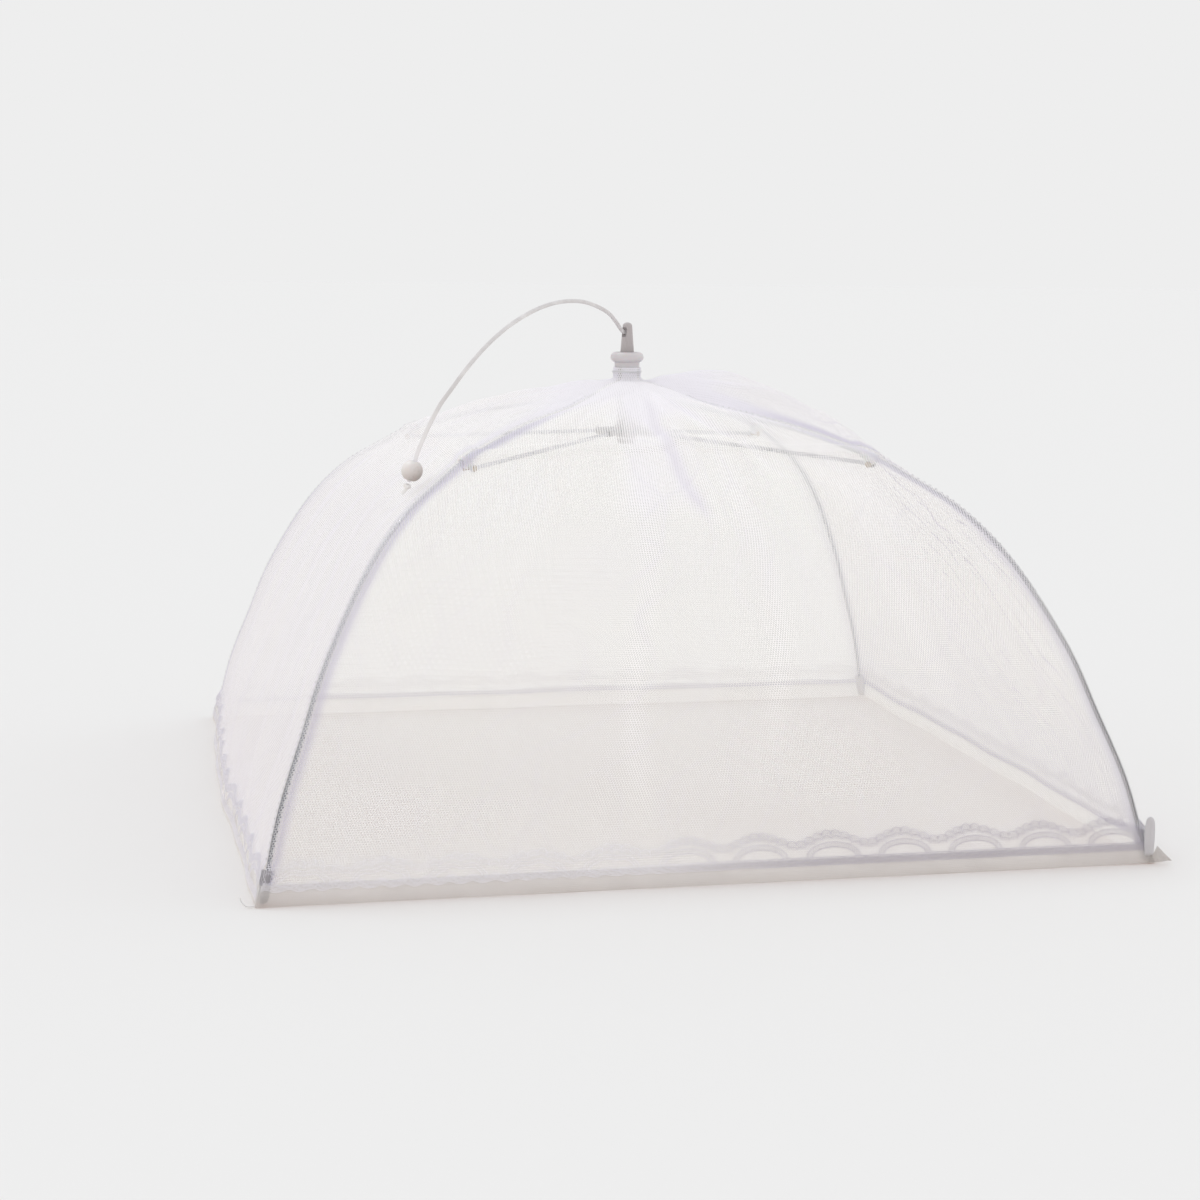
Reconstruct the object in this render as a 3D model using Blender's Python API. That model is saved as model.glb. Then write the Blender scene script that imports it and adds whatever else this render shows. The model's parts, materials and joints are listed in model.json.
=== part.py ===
"""A square pop-up mesh food cover that works like a small umbrella.

Four sprung ribs hang from a notched collar, four stretchers push them open
from a sliding runner, and a pin on the runner stands up through the collar.
A sewn net canopy hangs on the ribs down to a hem with a lace band, and a flat
cord with a bead pulls the pin up to open the cover.

Metres, +Z up, origin on the table in the middle of the open cover.
The side that faces -Y is the front, and +X is to the right.
"""
import math

import bmesh
import bpy
import numpy as np
from mathutils import Matrix, Vector

# Clearances and mesh fineness
GAP = 0.0003            # between any two neighbouring pieces
OVERRUN = 0.0010        # how far a cutter runs past what it cuts
WIRE_SIDES = 8
SMALL_SIDES = 12
HUB_SIDES = 24

# The open cover
COVER_SIDE = 0.4100     # hem to hem
PIVOT_HEIGHT = 0.2050   # the ribs' hinge pins above the table
RUNNER_DROP = 0.0197    # from there down to the stretchers' hinge pins, open
FOLDED_TIP_RADIUS = 0.0180

# Ribs and stretchers: drawn steel wire
WIRE_R = 0.0010
TIP_RISE = 0.0030       # the wire's end above the table
EYE_T = 0.0016          # width of a wire eye along its hinge pin
EYE_WALL = 0.0008
JOINT_REACH = 0.1392    # axis of the cover to the rib clip's rivet
RIVET_DROP = 0.0040     # the rivet below the rib's middle line
STRETCHER_SIDESTEP = 0.0034
# The rib's arch from its hinge pin to its tip: reach and height as shares
ARCH_REACH_SHARES = (0.0, 0.119, 0.308, 0.473, 0.551, 0.654, 0.750, 0.847, 0.904, 0.961, 1.0)
ARCH_HEIGHT_SHARES = (1.0, 0.973, 0.933, 0.875, 0.830, 0.756, 0.642, 0.467, 0.321, 0.165, 0.0)
ARCH_STEPS = 14

# Rib clip: a moulded sleeve with a cheek for the rivet
CLIP_LENGTH = 0.0085
CLIP_WALL = 0.0008
CHEEK_WIDTH = 0.0050
CHEEK_BELOW_RIVET = 0.0023
CHEEK_T = 0.0028
RIVET_R = 0.0008
RIVET_HEAD_R = 0.0016
RIVET_HEAD_T = 0.0006

# Stretcher's thick inner end
SLEEVE_LENGTH = 0.0100
SLEEVE_WALL = 0.0005
SLEEVE_START = 0.0026

# Hub: ring, tube and notched collar in one moulding
RING_RISE = 0.0179      # middle of the ring above the ribs' hinge pins
RING_R = 0.0085
RING_THICKNESS = 0.0052
TUBE_R = 0.00645
COLLAR_R = 0.0078
COLLAR_THICKNESS = 0.0070
COLLAR_CAP = 0.0013
SPOUT_R = 0.0050
PIN_SHAFT_R = 0.0029
PIN_SHOULDER_R = 0.00355
PIN_TOP_R = 0.00245
PIN_RISE = 0.0178       # tip of the pin above the middle of the ring
PIN_DOME = 0.0018
PIN_EYE_WIDTH = 0.0030
PIN_EYE_HEIGHT = 0.0050
PIN_EYE_DROP = 0.0050   # middle of the eye below the pin's tip
PIN_HEAD_R = 0.0042
PIN_HEAD_T = 0.0012
RIB_PIN_CIRCLE_R = 0.0066
TIE_WIRE_R = 0.0004

# Runner
RUNNER_R = 0.0059
RUNNER_HALF_THICKNESS = 0.0027
RUNNER_BOSS_T = 0.0005
RUNNER_FOOT_T = 0.0024
RUNNER_PIN_CIRCLE_R = 0.0053

# Cloth
NET_T = 0.0004
HEM_T = 0.0008
HEM_HEIGHT = 0.0080
POCKET_LENGTH = 0.0120
POCKET_WALL = 0.0005
POCKET_FOOT = 0.0035
LACE_T = 0.0003
LACE_HEIGHT = 0.0128
LACE_SCALLOP = 0.0022
LACE_MOTIFS_PER_HALF_SIDE = 6
NECK_R = 0.0071
NECK_TOP_RISE = 0.0128  # the neck's rises are above the ribs' hinge pins
NECK_TURN_RISE = 0.0085
NECK_FOOT_R = 0.0085
NECK_FOOT_RISE = 0.0064
NECK_LIFT_REACH = 0.0600
THREAD_R = 0.0004
THREAD_RISE = 0.0106
COLUMNS_PER_HALF = 8
# How far the net stands off the straight line between two ribs
PANEL_PUFFS = {"front": 0.0080, "right": 0.0180, "back": 0.0095, "left": 0.0095}
PUFF_PEAK_SHARE = 0.27
PUFF_START_REACH = 0.0200
GATHER_DEPTH = 0.0011
GATHERS_PER_HALF = 2
GATHER_START_REACH = 0.0120
GATHER_END_REACH = 0.1100
FRONT_FOLD_DEPTH = 0.0035
FRONT_FOLD_WIDTH_SHARE = 0.14
FRONT_FOLD_END_REACH = 0.1950

# Cord and bead
CORD_R = 0.0010
CORD_POINT_SPACING_SHARE = 2.5  # of the cord's diameter
BEAD_R = 0.0050
BEAD_BORE_R = 0.0014
KNOT_R = 0.0018
# From inside the pin's eye, up and over to the left, and down to the bead
CORD_ROUTE = (
    (0.0000, 0.0000, 0.2357), (-0.0032, -0.0020, 0.2364), (-0.0078, -0.0070, 0.2413),
    (-0.0139, -0.0140, 0.2462), (-0.0251, -0.0265, 0.2504), (-0.0348, -0.0364, 0.2519),
    (-0.0470, -0.0485, 0.2512), (-0.0601, -0.0614, 0.2477), (-0.0729, -0.0739, 0.2418),
    (-0.0828, -0.0831, 0.2354), (-0.0911, -0.0902, 0.2286), (-0.0992, -0.0963, 0.2204),
    (-0.1058, -0.1002, 0.2125), (-0.1112, -0.1025, 0.2057), (-0.1155, -0.1039, 0.1984),
    (-0.1192, -0.1046, 0.1910), (-0.1223, -0.1049, 0.1836), (-0.1250, -0.1050, 0.1750),
)

RIB_NAMES = {"front_right": -45, "back_right": 45, "back_left": 135, "front_left": 225}
PANELS = {"front": -90, "right": 0, "back": 90, "left": 180}

COLOURS = {
    "white_plastic": ((0.86, 0.86, 0.87), 0.42, 0.0),
    "grey_plastic": ((0.62, 0.62, 0.64), 0.45, 0.0),
    "clip_plastic": ((0.84, 0.85, 0.86), 0.35, 0.0),
    "steel": ((0.56, 0.57, 0.60), 0.30, 1.0),
    "brass": ((0.55, 0.42, 0.24), 0.40, 1.0),
    "net": ((0.90, 0.90, 0.95), 0.85, 0.0),
    "hem": ((0.80, 0.79, 0.80), 0.90, 0.0),
    "lace": ((0.88, 0.88, 0.92), 0.90, 0.0),
    "thread": ((0.88, 0.88, 0.88), 0.90, 0.0),
    "cord": ((0.90, 0.90, 0.90), 0.50, 0.0),
    "bead": ((0.90, 0.87, 0.80), 0.40, 0.0),
}


def clear_scene():
    for obj in list(bpy.data.objects):
        bpy.data.objects.remove(obj)


def material(piece_name, colour_name):
    colour, roughness, metallic = COLOURS[colour_name]
    mat = bpy.data.materials.new(piece_name + "_" + colour_name)
    mat.use_nodes = True
    shader = mat.node_tree.nodes["Principled BSDF"]
    shader.inputs["Base Color"].default_value = (*colour, 1)
    shader.inputs["Roughness"].default_value = roughness
    shader.inputs["Metallic"].default_value = metallic
    mat.diffuse_color = (*colour, 1)
    return mat


def add_object(name, data, colour_name, parent=None):
    obj = bpy.data.objects.new(name, data)
    bpy.context.collection.objects.link(obj)
    obj.data.materials.append(material(name, colour_name))
    obj.parent = parent
    return obj


def add_hinge(name, place, degrees=0):
    """An empty on a joint's axis, with its X along the rib."""
    empty = bpy.data.objects.new(name, None)
    bpy.context.collection.objects.link(empty)
    empty.location = place
    empty.rotation_euler = (0, 0, math.radians(degrees))
    return empty


def mesh_from(bm, name, smooth=True):
    bmesh.ops.recalc_face_normals(bm, faces=bm.faces)
    mesh = bpy.data.meshes.new(name)
    bm.to_mesh(mesh)
    bm.free()
    if smooth:
        mesh.shade_smooth()
        mesh.set_sharp_from_angle(angle=math.radians(40))
    return mesh


def loft(bm, rings, closed=False):
    """Skin rings of equal length; open lofts get an end face at each end."""
    loops = [[bm.verts.new(p) for p in ring] for ring in rings]
    count = len(loops[0])
    pairs = list(zip(loops, loops[1:] + loops[:1])) if closed else list(zip(loops, loops[1:]))
    for a, b in pairs:
        for i in range(count):
            j = (i + 1) % count
            bm.faces.new((a[i], a[j], b[j], b[i]))
    if not closed:
        bm.faces.new(loops[0])
        bm.faces.new(loops[-1])


def circle(centre, axis, radius, sides, start=0.0):
    """Points of a circle square to axis, the first one nearest to +Y."""
    axis = Vector(axis).normalized()
    across = Vector((0, 1, 0))
    if abs(axis.y) > 0.9:
        across = Vector((1, 0, 0))
    u = (across - across.dot(axis) * axis).normalized()
    v = axis.cross(u)
    turn = [start + math.tau * i / sides for i in range(sides)]
    return [Vector(centre) + radius * (math.cos(t) * u + math.sin(t) * v) for t in turn]


def rod(bm, start, end, radius, sides):
    axis = Vector(end) - Vector(start)
    loft(bm, [circle(start, axis, radius, sides), circle(end, axis, radius, sides)])


def turned(profile, centre=(0, 0, 0), axis=(0, 0, 1), sides=HUB_SIDES, closed=True):
    """A solid turned from (radius, height) points about an axis."""
    bm = bmesh.new()
    axis = Vector(axis).normalized()
    rings = [circle(Vector(centre) + h * axis, axis, r, sides) for r, h in profile]
    loft(bm, rings, closed)
    return bm


def arc_profile(centre_r, centre_h, radius_r, radius_h, start, end, steps):
    """Points of an elliptic arc in a turned profile, angles in degrees."""
    found = []
    for i in range(steps + 1):
        a = math.radians(start + (end - start) * i / steps)
        found.append((centre_r + radius_r * math.cos(a), centre_h + radius_h * math.sin(a)))
    return found


def boolean(bm_a, bm_b, operation):
    """The exact union or difference of two closed meshes."""
    objs = []
    for bm in (bm_a, bm_b):
        mesh = mesh_from(bm, "work", smooth=False)
        obj = bpy.data.objects.new("work", mesh)
        bpy.context.collection.objects.link(obj)
        objs.append(obj)
    modifier = objs[0].modifiers.new("work", "BOOLEAN")
    modifier.operation = operation
    modifier.solver = "EXACT"
    modifier.object = objs[1]
    found = bmesh.new()
    found.from_object(objs[0], bpy.context.evaluated_depsgraph_get())
    for obj in objs:
        mesh = obj.data
        bpy.data.objects.remove(obj)
        bpy.data.meshes.remove(mesh)
    return found


def box(low, high):
    bm = bmesh.new()
    bmesh.ops.create_cube(bm, size=1)
    low, high = Vector(low), Vector(high)
    scale = Matrix.Diagonal((*(high - low), 1))
    bmesh.ops.transform(bm, matrix=Matrix.Translation((low + high) / 2) @ scale, verts=bm.verts)
    return bm


# Heights above the table

RUNNER_HEIGHT = PIVOT_HEIGHT - RUNNER_DROP
RING_HEIGHT = PIVOT_HEIGHT + RING_RISE
PIN_TIP_HEIGHT = RING_HEIGHT + PIN_RISE
PIN_EYE_MIDDLE = PIN_TIP_HEIGHT - PIN_EYE_DROP

# The arch that each rib follows, in its own upright plane as (reach, height)

POCKET_R = WIRE_R + GAP + POCKET_WALL
CLIP_R = WIRE_R + GAP + CLIP_WALL
CHEEK_FACE = STRETCHER_SIDESTEP - WIRE_R - 2 * GAP
CHEEK_BACK = CHEEK_FACE - CHEEK_T
CORNER_REACH = COVER_SIDE / 2 * math.sqrt(2)
TIP_REACH = CORNER_REACH - (POCKET_R + GAP + HEM_T) * math.sqrt(2) - WIRE_R


def smooth_curve(points, per_span):
    """A smooth curve through hand-chosen points, as many short steps."""
    pts = [np.array(p, float) for p in points]
    pts = [2 * pts[0] - pts[1]] + pts + [2 * pts[-1] - pts[-2]]
    found = []
    for a, b, c, d in zip(pts, pts[1:], pts[2:], pts[3:]):
        for i in range(per_span):
            t = i / per_span
            found.append(0.5 * (2 * b + (c - a) * t + (2 * a - 5 * b + 4 * c - d) * t**2
                                + (3 * b - a - 3 * c + d) * t**3))
    found.append(pts[-2])
    return np.array(found)


def lengths_along(line):
    return np.concatenate([[0], np.cumsum(np.linalg.norm(np.diff(line, axis=0), axis=1))])


ARCH = smooth_curve(
    [(RIB_PIN_CIRCLE_R + r * (TIP_REACH - RIB_PIN_CIRCLE_R), TIP_RISE + h * (PIVOT_HEIGHT - TIP_RISE))
     for r, h in zip(ARCH_REACH_SHARES, ARCH_HEIGHT_SHARES)], 12)
ARCH_ALONG = lengths_along(ARCH)
ARCH_LENGTH = float(ARCH_ALONG[-1])


def arch_at(along):
    """Place and direction at a length along the arch, straight past its ends."""
    inside = min(max(along, 0), ARCH_LENGTH)
    place = np.array([np.interp(inside, ARCH_ALONG, ARCH[:, k]) for k in (0, 1)])
    step = ARCH_LENGTH / 200
    a, b = max(inside - step, 0), min(inside + step, ARCH_LENGTH)
    ends = [np.array([np.interp(s, ARCH_ALONG, ARCH[:, k]) for k in (0, 1)]) for s in (a, b)]
    way = (ends[1] - ends[0]) / np.linalg.norm(ends[1] - ends[0])
    return place + (along - inside) * way, way


JOINT_ALONG = float(np.interp(JOINT_REACH, ARCH[:, 0], ARCH_ALONG))
JOINT_HEIGHT = float(arch_at(JOINT_ALONG)[0][1]) - RIVET_DROP
TABLE_ALONG = ARCH_LENGTH - TIP_RISE / float(arch_at(ARCH_LENGTH)[1][1])
HEM_ALONG = float(np.interp(-HEM_HEIGHT, -ARCH[:, 1], ARCH_ALONG))
NET_END_ALONG = HEM_ALONG - GAP
POCKET_ALONG = ARCH_LENGTH - POCKET_LENGTH
LACE_TOP_ALONG = NET_END_ALONG - GAP - LACE_HEIGHT


def arch_stations(start, end):
    """Lengths along the arch: even steps, and the clip's, lace's and pocket's ends."""
    even = [ARCH_LENGTH * i / ARCH_STEPS for i in range(ARCH_STEPS + 1)]
    clip = [JOINT_ALONG - CLIP_LENGTH, JOINT_ALONG + CLIP_LENGTH]
    special = clip + [LACE_TOP_ALONG, POCKET_ALONG - GAP]
    spacing = CLIP_LENGTH / 2
    keep = [s for s in even if all(abs(s - x) > spacing for x in special)]
    inside = [s for s in keep + special if start + spacing < s < end - spacing]
    return [start] + sorted(inside) + [end]


# How the linkage folds, from the same sizes

def fold_numbers():
    tip = (TIP_REACH - RIB_PIN_CIRCLE_R, TIP_RISE - PIVOT_HEIGHT)
    rest_angle = math.atan2(tip[1], tip[0])
    folded_angle = -math.acos((FOLDED_TIP_RADIUS - RIB_PIN_CIRCLE_R) / math.hypot(*tip))
    rib_turn = rest_angle - folded_angle
    arm = (JOINT_REACH - RIB_PIN_CIRCLE_R, JOINT_HEIGHT - PIVOT_HEIGHT)
    stretcher = (JOINT_REACH - RUNNER_PIN_CIRCLE_R, JOINT_HEIGHT - RUNNER_HEIGHT)
    arm_angle = math.atan2(arm[1], arm[0]) - rib_turn
    joint = (RIB_PIN_CIRCLE_R + math.hypot(*arm) * math.cos(arm_angle),
             PIVOT_HEIGHT + math.hypot(*arm) * math.sin(arm_angle))
    rise = math.acos((joint[0] - RUNNER_PIN_CIRCLE_R) / math.hypot(*stretcher))
    runner = joint[1] - math.hypot(*stretcher) * math.sin(rise)
    return {
        "rib_turn_deg": math.degrees(rib_turn),
        "runner_travel_m": RUNNER_HEIGHT - runner,
        "stretcher_turn_deg": math.degrees(rise - math.atan2(stretcher[1], stretcher[0])),
    }


# Hub and runner

def cut_slots(bm, inner_r, outer_r, low, high):
    """Four slots along the ribs' directions, open to the outside."""
    half = WIRE_R + GAP
    for degrees in RIB_NAMES.values():
        slot = box((inner_r, -half, low), (outer_r, half, high))
        bmesh.ops.rotate(slot, cent=(0, 0, 0), verts=slot.verts,
                         matrix=Matrix.Rotation(math.radians(degrees), 3, "Z"))
        bm = boolean(bm, slot, "DIFFERENCE")
    return bm


EYE_HOLE_R = TIE_WIRE_R + GAP
EYE_R = EYE_HOLE_R + EYE_WALL
COLLAR_TOP = PIVOT_HEIGHT + COLLAR_THICKNESS / 2
COLLAR_FOOT = PIVOT_HEIGHT - COLLAR_THICKNESS / 2
RUNNER_TOP = RUNNER_HEIGHT + RUNNER_HALF_THICKNESS + RUNNER_BOSS_T
RUNNER_FOOT = RUNNER_HEIGHT - RUNNER_HALF_THICKNESS - RUNNER_FOOT_T
RING_HALF = RING_THICKNESS / 2


def make_ferrule():
    """Ring, tube, notched collar and spout, moulded as one."""
    bore = PIN_SHOULDER_R + GAP
    groove_floor = RIB_PIN_CIRCLE_R - TIE_WIRE_R - GAP
    groove_half = TIE_WIRE_R + GAP
    ring_centre = RING_R - RING_HALF
    profile = [(bore, RUNNER_TOP + GAP), (SPOUT_R, RUNNER_TOP + GAP), (SPOUT_R, COLLAR_FOOT),
               (COLLAR_R, COLLAR_FOOT), (COLLAR_R, PIVOT_HEIGHT - groove_half),
               (groove_floor, PIVOT_HEIGHT - groove_half), (groove_floor, PIVOT_HEIGHT + groove_half),
               (COLLAR_R, PIVOT_HEIGHT + groove_half), (COLLAR_R, COLLAR_TOP), (TUBE_R, COLLAR_TOP)]
    profile.append((TUBE_R, RING_HEIGHT - RING_HALF))
    profile += arc_profile(ring_centre, RING_HEIGHT, RING_HALF, RING_HALF, -80, 90, 8)
    profile += [(bore, RING_HEIGHT + RING_HALF)]
    bm = turned(profile)
    bm = cut_slots(bm, RIB_PIN_CIRCLE_R - EYE_R - GAP, COLLAR_R + OVERRUN,
                   COLLAR_FOOT - OVERRUN, COLLAR_TOP - COLLAR_CAP)
    add_object("ferrule", mesh_from(bm, "ferrule"), "white_plastic")


def make_runner(slider):
    bore = PIN_SHAFT_R + GAP
    low, high = RUNNER_HEIGHT - RUNNER_HALF_THICKNESS, RUNNER_HEIGHT + RUNNER_HALF_THICKNESS
    groove_floor = RUNNER_PIN_CIRCLE_R - TIE_WIRE_R - GAP
    groove_half = TIE_WIRE_R + GAP
    profile = [(bore, RUNNER_FOOT), (SPOUT_R, RUNNER_FOOT), (SPOUT_R, low), (RUNNER_R, low),
               (RUNNER_R, RUNNER_HEIGHT - groove_half), (groove_floor, RUNNER_HEIGHT - groove_half),
               (groove_floor, RUNNER_HEIGHT + groove_half), (RUNNER_R, RUNNER_HEIGHT + groove_half),
               (RUNNER_R, high), (SPOUT_R, high), (SPOUT_R, RUNNER_TOP), (bore, RUNNER_TOP)]
    bm = turned(profile)
    bm = cut_slots(bm, RUNNER_PIN_CIRCLE_R - EYE_R - GAP, RUNNER_R + OVERRUN, low, high + OVERRUN)
    bmesh.ops.translate(bm, verts=bm.verts, vec=(0, 0, -RUNNER_HEIGHT))
    add_object("runner", mesh_from(bm, "runner"), "white_plastic", slider)


def make_pull_pin(slider):
    """Shaft through the runner and hub, with a tapered top and a cord eye."""
    head_top = RUNNER_FOOT - GAP
    shoulder = RING_HEIGHT + RING_HALF + GAP
    profile = [(PIN_HEAD_R, head_top - PIN_HEAD_T), (PIN_HEAD_R, head_top), (PIN_SHAFT_R, head_top),
               (PIN_SHAFT_R, shoulder - RING_HALF), (PIN_SHOULDER_R, shoulder)]
    profile += arc_profile(0, PIN_TIP_HEIGHT - PIN_DOME, PIN_TOP_R, PIN_DOME, 0, 75, 3)
    bm = turned(profile, closed=False, sides=SMALL_SIDES)
    half = PIN_EYE_WIDTH / 2
    eye = box((-PIN_SHOULDER_R - OVERRUN, -half, PIN_EYE_MIDDLE - PIN_EYE_HEIGHT / 2),
              (PIN_SHOULDER_R + OVERRUN, half, PIN_EYE_MIDDLE + PIN_EYE_HEIGHT / 2))
    way = Vector(CORD_ROUTE[1]).xy
    bmesh.ops.rotate(eye, cent=(0, 0, 0), verts=eye.verts,
                     matrix=Matrix.Rotation(math.atan2(way.y, way.x), 3, "Z"))
    bm = boolean(bm, eye, "DIFFERENCE")
    bmesh.ops.translate(bm, verts=bm.verts, vec=(0, 0, -RUNNER_HEIGHT))
    add_object("pull_pin", mesh_from(bm, "pull_pin"), "grey_plastic", slider)


def make_ring_wire(name, ring_r, height, wire_r, colour_name, parent=None):
    bm = turned(arc_profile(ring_r, height, wire_r, wire_r, 0, 300, 5), sides=HUB_SIDES)
    add_object(name, mesh_from(bm, name), colour_name, parent)


# One rib with what is fixed on it; local X runs out along the rib

def local(point):
    """A rib-plane point as a place relative to the rib's hinge pin."""
    return Vector((point[0] - RIB_PIN_CIRCLE_R, 0, point[1] - PIVOT_HEIGHT))


def eye_ring(centre, outer_r, hole_r, low, high, sides=SMALL_SIDES):
    """A flat ring round a hinge pin that lies along local Y."""
    c = Vector(centre)
    return turned([(hole_r, low), (outer_r, low), (outer_r, high), (hole_r, high)],
                  c, (0, 1, 0), sides)


def arch_rings(stations, radius, sides=WIRE_SIDES):
    rings = []
    for s in stations:
        place, way = arch_at(s)
        rings.append(circle(local(place), (way[0], 0, way[1]), radius, sides, math.pi / sides))
    return rings


def make_rib(name, hinge):
    wire = bmesh.new()
    loft(wire, arch_rings(arch_stations(EYE_HOLE_R + EYE_WALL / 2, ARCH_LENGTH), WIRE_R))
    eye = eye_ring((0, 0, 0), EYE_R, EYE_HOLE_R, -EYE_T / 2, EYE_T / 2)
    bm = boolean(wire, eye, "UNION")
    add_object("rib_" + name, mesh_from(bm, "rib"), "steel", hinge)


def make_rib_clip(name, hinge):
    """A sleeve on the rib with a cheek that carries the rivet."""
    ends = [JOINT_ALONG - CLIP_LENGTH / 2, JOINT_ALONG, JOINT_ALONG + CLIP_LENGTH / 2]
    body = bmesh.new()
    loft(body, arch_rings(ends, CLIP_R, SMALL_SIDES))
    joint = Vector((JOINT_REACH - RIB_PIN_CIRCLE_R, 0, JOINT_HEIGHT - PIVOT_HEIGHT))
    cheek = box(joint + Vector((-CHEEK_WIDTH / 2, CHEEK_BACK, -CHEEK_BELOW_RIVET)),
                joint + Vector((CHEEK_WIDTH / 2, CHEEK_FACE, RIVET_DROP)))
    bm = boolean(body, cheek, "UNION")
    bore = bmesh.new()
    past = [ends[0] - OVERRUN, *ends, ends[-1] + OVERRUN]
    loft(bore, arch_rings(past, WIRE_R + GAP, SMALL_SIDES))
    bm = boolean(bm, bore, "DIFFERENCE")
    hole = bmesh.new()
    rod(hole, joint + Vector((0, -CLIP_R - OVERRUN, 0)), joint + Vector((0, CHEEK_FACE + OVERRUN, 0)),
        RIVET_R + GAP, SMALL_SIDES)
    bm = boolean(bm, hole, "DIFFERENCE")
    add_object("rib_clip_" + name, mesh_from(bm, "rib_clip"), "clip_plastic", hinge)


def make_clip_rivet(name, hinge):
    """The rivet in the cheek, from its head to the cheek's face."""
    joint = (JOINT_REACH - RIB_PIN_CIRCLE_R, 0, JOINT_HEIGHT - PIVOT_HEIGHT)
    near = CHEEK_BACK - GAP
    profile = [(RIVET_HEAD_R, near - RIVET_HEAD_T), (RIVET_HEAD_R, near), (RIVET_R, near),
               (RIVET_R, CHEEK_FACE)]
    bm = turned(profile, joint, (0, 1, 0), SMALL_SIDES, closed=False)
    add_object("clip_rivet_" + name, mesh_from(bm, "clip_rivet"), "brass", hinge)


def make_corner_pocket(name, hinge):
    """A doubled sleeve round the rib's end, cut flat where it stands."""
    inner_r = WIRE_R + GAP
    inner = [POCKET_ALONG, (POCKET_ALONG + ARCH_LENGTH) / 2, ARCH_LENGTH + GAP]
    outer = [POCKET_ALONG, (POCKET_ALONG + ARCH_LENGTH) / 2, ARCH_LENGTH, ARCH_LENGTH + POCKET_FOOT]
    body = bmesh.new()
    loft(body, arch_rings(outer, POCKET_R))
    bore = bmesh.new()
    loft(bore, arch_rings([POCKET_ALONG - OVERRUN] + inner, inner_r))
    below = 2 * POCKET_FOOT
    table = box((CORNER_REACH / 2, -below, -PIVOT_HEIGHT - below), (CORNER_REACH, below, -PIVOT_HEIGHT))
    bm = boolean(boolean(body, bore, "DIFFERENCE"), table, "DIFFERENCE")
    add_object("corner_pocket_" + name, mesh_from(bm, "corner_pocket"), "hem", hinge)


# The canopy: a surface over the ribs, in world places

def ease(value, low, high):
    t = min(max((value - low) / (high - low), 0), 1)
    return t * t * (3 - 2 * t)


def stand_off(along, half_thickness):
    """How far the cloth's middle lies out from the rib's middle line."""
    inner = WIRE_R + GAP
    if abs(along - JOINT_ALONG) < CLIP_LENGTH + GAP:
        inner = CLIP_R + GAP
    if along >= POCKET_ALONG - 2 * GAP:
        inner = POCKET_R + GAP
    return (inner + half_thickness) * math.sqrt(2)


def meridian(along, half_thickness, out=0.0):
    """The cloth's middle over a rib, as (reach, height)."""
    place, way = arch_at(along)
    normal = np.array([-way[1], way[0]])
    off = stand_off(along, half_thickness)
    found = place + (off + out * math.sqrt(2)) * normal
    near_neck = 1 - ease(found[0], NECK_FOOT_R, NECK_LIFT_REACH)
    return found + np.array([0, (NECK_FOOT_RISE - normal[1] * off) * near_neck])


def puff_at(panel, reach, u):
    """How far the panel bellies out, from the rib (u 0) to its middle (u 1)."""
    x = reach / CORNER_REACH
    rise = (x / PUFF_PEAK_SHARE * math.exp(1 - x / PUFF_PEAK_SHARE)) ** 2 * (1 - min(x, 1) ** 6)
    depth = PANEL_PUFFS[panel] * rise * math.sin(math.pi * u / 2) * ease(reach, NECK_R, PUFF_START_REACH)
    fade = ease(reach, NECK_FOOT_R, GATHER_START_REACH)
    fade *= 1 - ease(reach, GATHER_START_REACH, GATHER_END_REACH)
    depth += GATHER_DEPTH * fade * (1 - math.cos(math.tau * GATHERS_PER_HALF * u)) / 2
    if panel == "front":
        near_middle = math.exp(-((1 - u) / FRONT_FOLD_WIDTH_SHARE) ** 2)
        depth += FRONT_FOLD_DEPTH * near_middle * ease(reach, NECK_FOOT_R, NECK_LIFT_REACH) * (
            1 - ease(reach, FRONT_FOLD_END_REACH / 2, FRONT_FOLD_END_REACH))
    return depth


def cover_point(rib_degrees, panel, u, place, way):
    """A place on the canopy, from a rib-plane point and its direction."""
    rib = Vector((math.cos(math.radians(rib_degrees)), math.sin(math.radians(rib_degrees))))
    middle = Vector((math.cos(math.radians(PANELS[panel])), math.sin(math.radians(PANELS[panel]))))
    reach, height = place
    square = rib * (1 - u) + middle * u / math.sqrt(2)
    angle = rib.angle_signed(middle) * u
    turn = Matrix.Rotation(-angle, 2)
    roundness = 1 - ease(reach, NECK_FOOT_R, NECK_LIFT_REACH)
    flat = square * reach * (1 - roundness) + (turn @ rib) * reach * roundness
    out = Vector((-way[1] * middle.x, -way[1] * middle.y, way[0])).normalized()
    depth = puff_at(panel, reach, u)
    found = Vector((flat.x, flat.y, height)) + float(depth) * out
    sideways = Vector((-middle.y, middle.x))
    lean = found.xy.dot(sideways)
    limit = GAP / 2
    if abs(lean) < limit:
        side = 1 if rib.dot(sideways) > 0 else -1
        found.xy += (side * limit - lean) * sideways
    return found


def cover_grid(rib_degrees, rows, columns):
    """Rows of (rib-plane place, direction) spread over a rib's two half panels."""
    panels = sorted(PANELS, key=lambda p: abs((PANELS[p] - rib_degrees + 180) % 360 - 180))[:2]
    first, second = sorted(panels, key=lambda p: (PANELS[p] - rib_degrees + 180) % 360)
    shares = [i / columns for i in range(columns + 1)]
    across = [(first, u) for u in reversed(shares)] + [(second, u) for u in shares[1:]]
    return [[cover_point(rib_degrees, p, u, place, way) for p, u in across] for place, way in rows], across


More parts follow.
